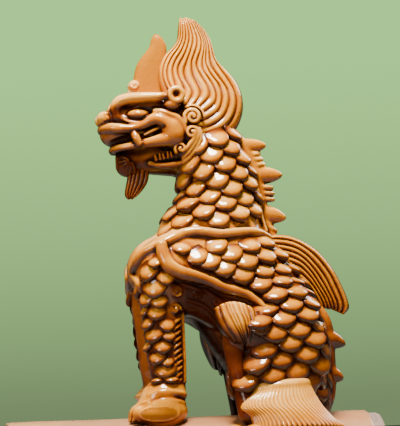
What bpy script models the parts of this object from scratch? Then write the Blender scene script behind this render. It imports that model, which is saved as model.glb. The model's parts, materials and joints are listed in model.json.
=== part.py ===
"""Ridge beast: a scaled guardian of glazed ceramic, fired in one with its half-round ridge tile.

Metres, +Z up. The beast looks along -X, the ridge runs along X, and Y = 0 is the plane of symmetry.
The origin is the middle of the underside of the tile.
"""

import math

import bmesh
import bpy
from mathutils import Matrix

# The tile
TILE_RADIUS = 0.104
TILE_WALL = 0.018
TILE_LENGTH = 0.395
NECK_LENGTH = 0.013
NECK_STEP = 0.003
TENON_LENGTH = 0.022
TENON_STEP = 0.020
TENON_WALL = 0.014
TILE_STEPS = 32
OVERALL_LENGTH = TILE_LENGTH + NECK_LENGTH + TENON_LENGTH
TILE_FRONT = -OVERALL_LENGTH / 2
TILE_BACK = TILE_FRONT + TILE_LENGTH
NECK_BACK = TILE_BACK + NECK_LENGTH
TENON_BACK = NECK_BACK + TENON_LENGTH

# The beast's places across the ridge, outwards from the plane of symmetry
FRONT_LEG_OUT = 0.037
THIGH_OUT = 0.044
KNEE_OUT = 0.058
HIND_PAW_OUT = 0.080
CURL_OUT = 0.034

# The flat crests that stand in the plane of symmetry
MANE_HALF = 0.015
HORN_HALF = 0.008
FIN_HALF = 0.011
BEARD_HALF = 0.007

# How finely the clay is fused
VOXEL = 0.0022
SMOOTHING = 4
KEPT_SHARE = 0.040

GLAZE = (0.62, 0.27, 0.035, 1.0)
SIDES = (-1, 1)


def clear_scene():
    for obj in list(bpy.data.objects):
        bpy.data.objects.remove(obj)


def glaze_material():
    material = bpy.data.materials.new("amber_glaze")
    material.use_nodes = True
    shader = material.node_tree.nodes["Principled BSDF"]
    shader.inputs["Base Color"].default_value = GLAZE
    shader.inputs["Roughness"].default_value = 0.12
    shader.inputs["Metallic"].default_value = 0.0
    return material


# Shapes of clay: each function adds one closed form to the lump


def ellipsoid(lump, centre, radii, tilt=0.0):
    """A ball stretched to its three radii and tilted about Y, in degrees."""
    bpy.ops.mesh.primitive_uv_sphere_add(segments=28, ring_count=18, radius=1.0)
    ball = bpy.context.object
    turn = Matrix.Rotation(math.radians(tilt), 4, "Y")
    ball.matrix_world = Matrix.Translation(centre) @ turn @ Matrix.Diagonal((*radii, 1.0))
    lump.append(ball)


def tube(lump, stations, flatness=1.0, steps=6):
    """A smooth limb through (x, y, z, radius) stations; flatness is its width over its depth."""
    curve = bpy.data.curves.new("limb", "CURVE")
    curve.dimensions = "3D"
    curve.resolution_u = steps
    curve.bevel_depth = 1.0
    curve.bevel_resolution = 5
    curve.use_fill_caps = True
    spline = curve.splines.new("BEZIER")
    spline.bezier_points.add(len(stations) - 1)
    middle = sum(station[1] for station in stations) / len(stations)
    for point, (x, y, z, radius) in zip(spline.bezier_points, stations):
        point.co = (x, (y - middle) / flatness, z)
        point.radius = radius
        point.handle_left_type = point.handle_right_type = "AUTO"
    limb = bpy.data.objects.new("limb", curve)
    bpy.context.scene.collection.objects.link(limb)
    limb.matrix_world = Matrix.Translation((0, middle, 0)) @ Matrix.Diagonal((1.0, flatness, 1.0, 1.0))
    lump.append(limb)


def crest(lump, outline, half_thickness, rounding=0.003):
    """A flat crest standing on edge: a smooth closed outline through (x, z) points.

    A point with a third entry, "sharp", is a corner.
    """
    curve = bpy.data.curves.new("crest", "CURVE")
    curve.dimensions = "2D"
    curve.fill_mode = "BOTH"
    curve.resolution_u = 6
    curve.extrude = half_thickness - rounding
    curve.bevel_depth = rounding
    curve.offset = -rounding
    curve.bevel_resolution = 2
    spline = curve.splines.new("BEZIER")
    spline.use_cyclic_u = True
    spline.bezier_points.add(len(outline) - 1)
    for point, corner in zip(spline.bezier_points, outline):
        x, z = corner[:2]
        point.co = (x, z, 0)
        sharp = len(corner) > 2
        point.handle_left_type = point.handle_right_type = "VECTOR" if sharp else "AUTO"
    plate = bpy.data.objects.new("crest", curve)
    bpy.context.scene.collection.objects.link(plate)
    plate.matrix_world = Matrix.Rotation(math.radians(90), 4, "X")
    lump.append(plate)


def spike(lump, base, tip, root_radius, flatness=0.8):
    """A blunt dorsal spike from its base to its tip, both (x, z)."""
    tube(
        lump,
        [
            (base[0], 0, base[1], root_radius),
            ((base[0] + tip[0]) / 2, 0, (base[1] + tip[1]) / 2, 0.72 * root_radius),
            (tip[0] - 0.12 * (tip[0] - base[0]), 0, tip[1] - 0.12 * (tip[1] - base[1]), 0.32 * root_radius),
            (tip[0], 0, tip[1], 0.12 * root_radius),
        ],
        flatness,
    )


# The parts of the beast


def trunk(lump):
    """Neck, chest, barrel and rump, down to the tile."""
    tube(
        lump,
        [
            (0.018, 0, 0.405, 0.036),
            (0.026, 0, 0.378, 0.043),
            (0.029, 0, 0.350, 0.045),
            (0.027, 0, 0.322, 0.049),
            (0.018, 0, 0.296, 0.060),
        ],
        0.84,
    )
    ellipsoid(lump, (-0.008, 0, 0.262), (0.067, 0.054, 0.056))
    for side in SIDES:
        ellipsoid(lump, (-0.022, side * 0.036, 0.258), (0.048, 0.026, 0.046))
        ellipsoid(lump, (0.030, side * 0.034, 0.245), (0.058, 0.026, 0.050), 35)
    tube(
        lump,
        [
            (0.012, 0, 0.290, 0.056),
            (0.040, 0, 0.255, 0.064),
            (0.066, 0, 0.212, 0.065),
            (0.087, 0, 0.165, 0.059),
            (0.093, 0, 0.120, 0.054),
            (0.090, 0, 0.085, 0.050),
        ],
        0.88,
    )


def front_leg(lump, side):
    out = side * FRONT_LEG_OUT
    tube(
        lump,
        [
            (-0.038, out, 0.262, 0.034),
            (-0.050, out, 0.228, 0.026),
            (-0.049, out, 0.195, 0.024),
            (-0.046, out, 0.165, 0.025),
            (-0.041, out, 0.137, 0.0205),
            (-0.041, out, 0.108, 0.021),
        ],
        0.92,
    )
    ellipsoid(lump, (-0.053, out, 0.104), (0.033, 0.026, 0.020))
    for toe in (-1, 0, 1):
        ellipsoid(lump, (-0.076, out + toe * 0.015, 0.100), (0.010, 0.008, 0.012))
    tube(
        lump,
        [
            (-0.026, out + side * 0.010, 0.214, 0.007),
            (-0.023, out + side * 0.008, 0.180, 0.007),
            (-0.022, out + side * 0.006, 0.136, 0.006),
        ],
    )


def hind_leg(lump, side):
    thigh, knee, paw = side * THIGH_OUT, side * KNEE_OUT, side * HIND_PAW_OUT
    ellipsoid(lump, (0.089, thigh, 0.168), (0.050, 0.031, 0.060))
    tube(
        lump,
        [(0.080, thigh, 0.185, 0.034), (0.055, knee, 0.186, 0.027), (0.036, knee, 0.186, 0.022)],
    )
    ellipsoid(lump, (0.034, side * 0.064, 0.186), (0.022, 0.017, 0.030), -15)
    tube(
        lump,
        [
            (0.040, knee, 0.170, 0.017),
            (0.044, knee, 0.140, 0.017),
            (0.050, side * 0.066, 0.100, 0.020),
        ],
    )
    tube(
        lump,
        [
            (0.082, side * 0.066, 0.124, 0.031),
            (0.084, side * 0.070, 0.112, 0.038),
            (0.092, side * 0.076, 0.078, 0.047),
            (0.092, side * 0.077, 0.066, 0.044),
        ],
        0.50,
    )
    ellipsoid(lump, (0.070, side * 0.060, 0.118), (0.026, 0.016, 0.022))
    ellipsoid(lump, (0.078, paw, 0.057), (0.060, 0.022, 0.019))
    for toe in (-1, 0, 1):
        ellipsoid(lump, (0.026, paw + toe * 0.010, 0.053 - side * toe * 0.005), (0.012, 0.008, 0.011))


def shoulder_flames(lump, side):
    """The forked band that runs from the chest over the shoulder to the back and along the ribs."""
    tube(
        lump,
        [
            (-0.073, side * 0.030, 0.240, 0.004),
            (-0.070, side * 0.034, 0.266, 0.007),
            (-0.055, side * 0.040, 0.287, 0.008),
            (-0.035, side * 0.044, 0.297, 0.009),
            (-0.011, side * 0.046, 0.303, 0.009),
            (0.016, side * 0.048, 0.298, 0.009),
            (0.038, side * 0.046, 0.301, 0.008),
            (0.060, side * 0.036, 0.301, 0.007),
            (0.084, side * 0.014, 0.292, 0.004),
        ],
    )
    tube(
        lump,
        [
            (-0.042, side * 0.050, 0.290, 0.009),
            (-0.037, side * 0.058, 0.264, 0.010),
            (-0.018, side * 0.060, 0.251, 0.009),
            (0.006, side * 0.060, 0.241, 0.009),
            (0.024, side * 0.061, 0.229, 0.008),
            (0.044, side * 0.061, 0.223, 0.007),
            (0.064, side * 0.060, 0.214, 0.005),
        ],
    )


def head(lump):
    ellipsoid(lump, (-0.012, 0, 0.424), (0.040, 0.035, 0.040))
    ellipsoid(lump, (-0.058, 0, 0.430), (0.038, 0.024, 0.020))
    ellipsoid(lump, (-0.072, 0, 0.446), (0.018, 0.021, 0.014))
    ellipsoid(lump, (-0.084, 0, 0.419), (0.016, 0.023, 0.016))
    ellipsoid(lump, (-0.091, 0, 0.437), (0.010, 0.014, 0.010))
    tube(
        lump,
        [(-0.010, 0, 0.398, 0.030), (-0.045, 0, 0.394, 0.020), (-0.078, 0, 0.399, 0.011)],
        1.0,
    )
    ellipsoid(lump, (-0.071, 0, 0.386), (0.014, 0.013, 0.013))


def face_side(lump, side):
    """Brow, eye, cheek and the curls behind the cheek."""
    tube(
        lump,
        [
            (-0.076, side * 0.012, 0.455, 0.008),
            (-0.060, side * 0.022, 0.459, 0.008),
            (-0.035, side * 0.029, 0.460, 0.007),
            (-0.012, side * 0.033, 0.460, 0.006),
        ],
    )
    ellipsoid(lump, (-0.055, side * 0.021, 0.438), (0.012, 0.008, 0.007))
    ellipsoid(lump, (-0.021, side * 0.026, 0.429), (0.019, 0.013, 0.018))
    curls = ((-0.011, 0.459, 0.011), (0.005, 0.436, 0.011), (0.005, 0.416, 0.010), (-0.009, 0.396, 0.009))
    for x, z, radius in curls:
        ellipsoid(lump, (x, side * CURL_OUT, z), (radius, 0.006, radius))
    tube(
        lump,
        [
            (-0.093, side * 0.013, 0.428, 0.005),
            (-0.070, side * 0.023, 0.426, 0.005),
            (-0.045, side * 0.027, 0.431, 0.005),
            (-0.022, side * 0.034, 0.437, 0.005),
        ],
    )
    tube(
        lump,
        [
            (-0.086, side * 0.008, 0.401, 0.005),
            (-0.066, side * 0.021, 0.402, 0.005),
            (-0.044, side * 0.027, 0.406, 0.005),
            (-0.020, side * 0.034, 0.416, 0.005),
        ],
    )


def crests(lump):
    """Mane, horn, beard and dorsal fin, which all stand in the plane of symmetry."""
    crest(
        lump,
        [
            (-0.006, 0.5435, "sharp"),
            (0.006, 0.545),
            (0.020, 0.536),
            (0.029, 0.518),
            (0.034, 0.498),
            (0.045, 0.485),
            (0.056, 0.471),
            (0.0605, 0.450),
            (0.057, 0.431),
            (0.047, 0.414),
            (0.020, 0.404),
            (-0.010, 0.410),
            (-0.026, 0.440),
            (-0.028, 0.468),
            (-0.031, 0.484),
            (-0.027, 0.498),
            (-0.018, 0.508),
            (-0.011, 0.518),
            (-0.007, 0.528),
        ],
        MANE_HALF,
        0.004,
    )
    for side in SIDES:
        ellipsoid(lump, (0.017, side * 0.012, 0.448), (0.040, 0.020, 0.042))
    crest(
        lump,
        [
            (-0.058, 0.462),
            (-0.055, 0.480),
            (-0.050, 0.497),
            (-0.038, 0.508),
            (-0.035, 0.518),
            (-0.032, 0.5265),
            (-0.024, 0.520),
            (-0.020, 0.508),
            (-0.026, 0.495),
            (-0.022, 0.470),
            (-0.022, 0.455),
            (-0.045, 0.450),
        ],
        HORN_HALF,
    )
    ellipsoid(lump, (-0.059, 0, 0.472), (0.007, 0.009, 0.009))
    crest(
        lump,
        [
            (-0.076, 0.384),
            (-0.076, 0.366),
            (-0.074, 0.350),
            (-0.0695, 0.3465),
            (-0.060, 0.353),
            (-0.052, 0.366),
            (-0.047, 0.388),
        ],
        BEARD_HALF,
    )
    crest(
        lump,
        [
            (0.080, 0.296),
            (0.106, 0.2955),
            (0.127, 0.286),
            (0.146, 0.263),
            (0.160, 0.231),
            (0.1685, 0.213),
            (0.1655, 0.2045, "sharp"),
            (0.152, 0.2115),
            (0.132, 0.216),
            (0.115, 0.216),
            (0.080, 0.262),
        ],
        FIN_HALF,
    )


def dorsal_ridge(lump):
    """The low ridge down the back, and its spikes."""
    tube(
        lump,
        [
            (0.052, 0, 0.408, 0.010),
            (0.066, 0, 0.380, 0.009),
            (0.073, 0, 0.344, 0.009),
            (0.075, 0, 0.318, 0.009),
            (0.090, 0, 0.296, 0.008),
            (0.118, 0, 0.256, 0.007),
            (0.137, 0, 0.212, 0.009),
            (0.143, 0, 0.165, 0.009),
            (0.142, 0, 0.125, 0.009),
            (0.134, 0, 0.104, 0.009),
        ],
    )
    spike(lump, (0.058, 0.399), (0.084, 0.399), 0.011)
    spike(lump, (0.070, 0.362), (0.1015, 0.364), 0.012)
    spike(lump, (0.073, 0.322), (0.1015, 0.316), 0.012)
    spike(lump, (0.134, 0.184), (0.160, 0.172), 0.013)
    spike(lump, (0.134, 0.146), (0.156, 0.136), 0.012)


def fused(lump, name, collection):
    """All the forms in one mesh object, fused into one skin and then thinned to facets."""
    graph = bpy.context.evaluated_depsgraph_get()
    clay = bmesh.new()
    for form in lump:
        mesh = bpy.data.meshes.new_from_object(form.evaluated_get(graph))
        mesh.transform(form.matrix_world)
        clay.from_mesh(mesh)
        bpy.data.meshes.remove(mesh)
        bpy.data.objects.remove(form)
    bmesh.ops.remove_doubles(clay, verts=clay.verts, dist=1e-6)
    mesh = bpy.data.meshes.new(name)
    clay.to_mesh(mesh)
    clay.free()
    beast = bpy.data.objects.new(name, mesh)
    collection.objects.link(beast)
    skin = beast.modifiers.new("fused skin", "REMESH")
    skin.mode = "VOXEL"
    skin.voxel_size = VOXEL
    soft = beast.modifiers.new("thumbed smooth", "SMOOTH")
    soft.factor = 0.5
    soft.iterations = SMOOTHING
    facets = beast.modifiers.new("facets", "DECIMATE")
    facets.ratio = KEPT_SHARE
    facets.use_symmetry = True
    facets.symmetry_axis = "Y"
    return beast


# The tile


def turned_bar(name, steps, collection, turn=math.pi):
    """A bar turned about X through (x, radius) steps; half a turn leaves a flat underside."""
    mesh = bpy.data.meshes.new(name)
    bar = bmesh.new()
    profile = [bar.verts.new((x, radius, 0)) for x, radius in steps]
    edges = [bar.edges.new(ends) for ends in zip(profile, profile[1:])]
    facets = round(TILE_STEPS * turn / math.pi)
    bmesh.ops.spin(bar, geom=profile + edges, cent=(0, 0, 0), axis=(1, 0, 0), angle=turn, steps=facets)
    bmesh.ops.remove_doubles(bar, verts=bar.verts, dist=1e-6)
    bmesh.ops.holes_fill(bar, edges=bar.edges)
    bmesh.ops.recalc_face_normals(bar, faces=bar.faces)
    bar.to_mesh(mesh)
    bar.free()
    obj = bpy.data.objects.new(name, mesh)
    collection.objects.link(obj)
    return obj


def helper(obj):
    obj.hide_render = True
    obj.display_type = "WIRE"
    return obj


def boolean(obj, operation, other):
    modifier = obj.modifiers.new(operation.lower(), "BOOLEAN")
    modifier.operation = operation
    modifier.solver = "EXACT"
    modifier.object = other


def add_tile(beast, helpers):
    """Joins the tile, its bare neck and its tenon to the beast, then cuts the channel under them."""
    over = 0.01
    neck_radius = TILE_RADIUS - NECK_STEP
    tenon_radius = TILE_RADIUS - TENON_STEP
    channel_radius = TILE_RADIUS - TILE_WALL
    throat_radius = tenon_radius - TENON_WALL
    throat_front = NECK_BACK - TENON_STEP
    tile = turned_bar(
        "tile_bar",
        [
            (TILE_FRONT, 0), (TILE_FRONT, TILE_RADIUS), (TILE_BACK, TILE_RADIUS), (TILE_BACK, neck_radius),
            (NECK_BACK, neck_radius), (NECK_BACK, tenon_radius), (TENON_BACK, tenon_radius), (TENON_BACK, 0),
        ],
        helpers,
    )
    channel = turned_bar(
        "channel_cutter",
        [
            (TILE_FRONT - over, 0), (TILE_FRONT - over, channel_radius), (throat_front, channel_radius),
            (throat_front, throat_radius), (TENON_BACK + over, throat_radius), (TENON_BACK + over, 0),
        ],
        helpers,
        2 * math.pi,
    )
    boolean(beast, "UNION", helper(tile))
    boolean(beast, "DIFFERENCE", helper(channel))


def main():
    clear_scene()
    scene = bpy.context.scene
    scene.unit_settings.system = "METRIC"
    parts = bpy.data.collections.new("ridge beast")
    helpers = bpy.data.collections.new("cutters")
    scene.collection.children.link(parts)
    scene.collection.children.link(helpers)
    lump = []
    trunk(lump)
    head(lump)
    crests(lump)
    dorsal_ridge(lump)
    for side in SIDES:
        front_leg(lump, side)
        hind_leg(lump, side)
        shoulder_flames(lump, side)
        face_side(lump, side)
    bpy.context.view_layer.update()
    beast = fused(lump, "ridge_beast", parts)
    add_tile(beast, helpers)
    beast.data.materials.append(glaze_material())


main()
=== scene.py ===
"""The looks of the ridge beast: modelled clay, pressed scales, combed hair and a poured amber glaze.

Shapes are worked in millimetres, in the frame of the CAD part: X along the ridge with the beast
looking along -X, Y across the ridge, Z up. Both sides come from one half, as from a two-part mould.
"""

import json
import math
from collections import namedtuple
from copy import deepcopy
from functools import cache

import bpy
import numpy as np
from bpy.props import FloatProperty, FloatVectorProperty, IntProperty, PointerProperty
from mathutils import Matrix, Vector


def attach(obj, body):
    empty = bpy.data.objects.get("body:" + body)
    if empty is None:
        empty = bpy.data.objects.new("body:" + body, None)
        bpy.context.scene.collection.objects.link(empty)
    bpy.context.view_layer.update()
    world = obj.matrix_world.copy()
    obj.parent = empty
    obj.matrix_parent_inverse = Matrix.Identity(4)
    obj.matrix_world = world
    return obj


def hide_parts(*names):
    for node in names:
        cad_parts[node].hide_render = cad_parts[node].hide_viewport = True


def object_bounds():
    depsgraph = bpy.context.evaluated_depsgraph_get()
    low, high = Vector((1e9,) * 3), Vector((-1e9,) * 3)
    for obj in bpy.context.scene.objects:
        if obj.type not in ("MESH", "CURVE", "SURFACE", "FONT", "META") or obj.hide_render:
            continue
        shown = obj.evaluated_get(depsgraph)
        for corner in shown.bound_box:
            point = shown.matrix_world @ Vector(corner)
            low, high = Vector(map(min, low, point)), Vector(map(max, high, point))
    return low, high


bl_info = {
    "name": "Ridge beast",
    "version": (1, 0, 0),
    "blender": (4, 5, 0),
    "location": "View3D > Sidebar > Ridge beast",
    "description": "Models a glazed ridge beast on its ridge tile",
    "category": "Object",
}

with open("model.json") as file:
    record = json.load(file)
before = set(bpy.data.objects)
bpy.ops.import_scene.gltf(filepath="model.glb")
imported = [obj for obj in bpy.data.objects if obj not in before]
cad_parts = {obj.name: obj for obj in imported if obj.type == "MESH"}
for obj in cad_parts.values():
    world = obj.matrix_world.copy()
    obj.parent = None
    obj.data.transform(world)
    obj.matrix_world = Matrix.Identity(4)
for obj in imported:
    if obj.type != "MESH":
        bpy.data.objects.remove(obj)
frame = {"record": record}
CAD_LOW, CAD_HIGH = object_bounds()
MM = 0.001
BEAST_NODE = "ridge_beast"

# The tile, read from the CAD part's box and its mounts
TILE_RADIUS = CAD_HIGH.y / MM
TILE_FRONT = CAD_LOW.x / MM
TENON_END = CAD_HIGH.x / MM
NECK_END = next(m["pos_m"][0] for m in frame["record"]["mounts"] if m["name"] == "tile_back_end") / MM
# Its bare neck and its tenon: how far each is let into the part before it and steps in from the glazed tile
NECK_LENGTH, NECK_INLET, NECK_STEP = 13.0, 6.0, 3.0
TENON_INLET, TENON_STEP, TENON_WALL = 18.0, 20.0, 14.0
# Points round each skin of the half-round tile, and the most that its surface waves out
TILE_AROUND = 64
TILE_WAVE = 0.6

# The farthest distance kept in the clay, and how far round a shape its distances are worked out
FAR = 30.0
REACH = 13.0

# The spacing in a row, the rows' spacing and the height that a scale is drawn for, and a leg scale's length
SCALE_WIDTH, SCALE_ROW, SCALE_HEIGHT = 27.5, 14.3, 6.0
LEG_SCALE_LENGTH = 17.0
# How far round its place a scale darkens the clay
SCALE_SHADE = 19
# Heights over the bare clay, under which it counts as clear of scales' edges, and of bands and curls
FLUSH, LOW_RELIEF = 1.2, 3.5

# Where the far side differs: its shin and toes stand back, as does its fetlock, and its knee's hair hangs
FAR_SHIN, FAR_TOES = 12, 16
FAR_FETLOCK = (15, 0, 0)
FAR_KNEE_HAIR = (-9, 0, -13)


def length(name, description, default):
    return FloatProperty(name=name, description=description, default=default * MM, unit="LENGTH")


def colour(name, description, default):
    return FloatVectorProperty(
        name=name, description=description, default=default, subtype="COLOR", size=3, min=0.0, max=1.0
    )


class BeastSizes(bpy.types.PropertyGroup):
    """Sizes that set how the beast is worked"""

    head_grain: length("Head grain", "Finest step of the head's clay", 0.9)
    body_grain: length("Body grain", "Finest step of the body's clay", 1.6)
    scale_width: length("Scale width", "Distance between scales of one row", SCALE_WIDTH)
    scale_row: length("Scale row", "Distance between rows of scales", SCALE_ROW)
    scale_height: length("Scale height", "How far a scale's tip stands off", SCALE_HEIGHT)
    mane_strands: IntProperty(name="Mane strands", description="Ridges across the mane", default=12, min=3)
    fin_ribs: IntProperty(name="Fin ribs", description="Ribs across the back fin", default=8, min=2)
    tile_wall: length("Tile wall", "Thickness of the tile", 18)


class GlazeColours(bpy.types.PropertyGroup):
    """Colours of the glaze, the clay and the studio"""

    # The pooled and deep glazes also paint shade: in hollows, between scales, under things and on what faces
    # down
    pooled_and_shaded: colour("Pooled glaze", "Where the glaze lies thick in the carving", (0.030, 0.0062, 0.002))
    deep: colour("Deep glaze", "Between the pools and the open surface", (0.11, 0.0175, 0.002))
    amber: colour("Amber glaze", "The glaze on the open surface", (0.42, 0.108, 0.001))
    honey: colour("Honey glaze", "Where the glaze has run thin", (0.67, 0.252, 0.002))
    # The thinnest glaze is also the painted highlight on the tops of scales, the brow, the paws, the fetlocks
    # and what faces up
    bare: colour("Thinnest glaze", "On the sharpest crests, where the clay shows", (0.88, 0.44, 0.12))
    orange: colour("Orange glaze", "The smooth horn", (0.40, 0.128, 0.0001))
    # Russet is also the painted shade on the flank, the shins, between the legs and under the chin
    russet: colour("Russet glaze", "Thin places low on the beast and the beard", (0.12, 0.016, 0.003))
    tile: colour("Tile glaze", "The thin glaze of the tile", (0.46, 0.22, 0.105))
    biscuit: colour("Biscuit", "Unglazed fired clay", (0.24, 0.16, 0.135))
    floor: colour("Floor", "The studio floor", (0.26, 0.27, 0.25))
    backdrop: colour("Backdrop, high", "What shows behind the beast, at its top", (0.47, 1.0, 0.28))
    backdrop_middle: colour("Backdrop, middle", "The same, halfway down", (0.355, 0.68, 0.225))
    backdrop_low: colour("Backdrop, low", "The same, at its foot", (0.185, 0.275, 0.13))
    surround: colour("Surround", "The dim light all round", (0.10, 0.115, 0.09))


# Clay: distances to a surface, kept on a grid over one half of the beast

Shape = namedtuple("Shape", "low high distance")
CORNERS = np.array([(i, j, k) for i in (0, 1) for j in (0, 1) for k in (0, 1)])
EDGES = [(a, b) for a in range(8) for b in range(a, 8) if abs(CORNERS[a] - CORNERS[b]).sum() == 1]
# The slow waves of hand-pressed clay: how fast each goes along X, Y and Z, and its start
WAVES = (
    (0.11, 0.05, 0.07, 0.3), (-0.06, 0.13, 0.09, 1.7), (0.08, -0.09, 0.12, 4.1), (0.19, 0.16, -0.14, 2.2),
)


def fade(value, none, full):
    """0 up to none, growing evenly to 1 at full."""
    return np.clip((value - none) / (full - none), 0, 1)


def flowing(points, steps=5, closed=False):
    """Catmull-Rom curve through points of any number of columns."""
    points = np.array(points, float)
    if closed:
        around = np.concatenate([points[-1:], points, points[:2]])
    else:
        around = np.concatenate([2 * points[:1] - points[1:2], points, 2 * points[-1:] - points[-2:-1]])
    made = [
        0.5 * (2 * b + (c - a) * t + (2 * a - 5 * b + 4 * c - d) * t**2 + (3 * b - a - 3 * c + d) * t**3)
        for a, b, c, d in zip(around, around[1:], around[2:], around[3:])
        for t in np.arange(steps) / steps
    ]
    return np.array(made if closed else [*made, points[-1]])


def ball(centre, radii, tilt=0.0):
    """A ball with three radii; tilt lifts its +X end, in degrees."""
    centre, radii = np.array(centre, float), np.array(radii, float)
    c, s = math.cos(math.radians(tilt)), math.sin(math.radians(tilt))
    small = 1e-3

    def distance(x, y, z):
        x, y, z = x - centre[0], y - centre[1], z - centre[2]
        x, z = c * x + s * z, c * z - s * x
        near = np.sqrt((x / radii[0]) ** 2 + (y / radii[1]) ** 2 + (z / radii[2]) ** 2)
        slope = np.sqrt((x / radii[0] ** 2) ** 2 + (y / radii[1] ** 2) ** 2 + (z / radii[2] ** 2) ** 2)
        return (near + small) * (near - 1) / (slope + small / radii.min())

    return Shape(centre - radii.max(), centre + radii.max(), distance)


def limb(stations, flat=1.0, closed=False):
    """A smooth tube through (x, y, z, radius) stations; flat is its width across the ridge over its depth."""
    points = flowing(stations, closed=closed)
    if closed:
        points = np.concatenate([points, points[:1]])
    radius = points[:, 3].max()

    def distance(x, y, z):
        best = np.full(np.broadcast(x, y, z).shape, FAR, np.float32)
        for a, b in zip(points, points[1:]):
            low = np.minimum(a, b)[:3] - radius - REACH
            high = np.maximum(a, b)[:3] + radius + REACH
            spans = [slice(*np.searchsorted(axis.ravel(), ends)) for axis, *ends in zip((x, y, z), low, high)]
            part = best[tuple(spans)]
            if part.size == 0:
                continue
            px = x[spans[0]] - a[0]
            py = (y[:, spans[1]] - a[1]) / flat
            pz = z[:, :, spans[2]] - a[2]
            ax, ay, az = b[0] - a[0], (b[1] - a[1]) / flat, b[2] - a[2]
            along = np.clip((px * ax + py * ay + pz * az) / max(ax * ax + ay * ay + az * az, 1e-9), 0, 1)
            gap = np.sqrt((px - ax * along) ** 2 + (py - ay * along) ** 2 + (pz - az * along) ** 2)
            np.minimum(part, gap - a[3] - (b[3] - a[3]) * along, out=part)
        return best

    wide = radius * max(flat, 1.0)
    return Shape(points[:, :3].min(0) - wide, points[:, :3].max(0) + wide, distance)


def outline_distance(outline, x, z):
    """Signed distance from (x, z) to a closed outline, negative inside."""
    nearest = np.full(x.shape, 1e9)
    inside = np.zeros(x.shape, bool)
    for (ax, az), (bx, bz) in zip(outline, np.roll(outline, -1, 0)):
        dx, dz = bx - ax, bz - az
        along = np.clip(((x - ax) * dx + (z - az) * dz) / max(dx * dx + dz * dz, 1e-9), 0, 1)
        nearest = np.minimum(nearest, (x - ax - dx * along) ** 2 + (z - az - dz * along) ** 2)
        if dz:
            inside ^= ((az > z) != (bz > z)) & (x < dx * (z - az) / dz + ax)
    return np.where(inside, -1, 1) * np.sqrt(nearest)


def united(a, b, blend):
    """The nearer of two distances, with a fillet of about the width of blend."""
    overlap = np.maximum(blend - np.abs(a - b), 0) / blend
    return np.minimum(a, b) - overlap**2 * blend / 4


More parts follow.
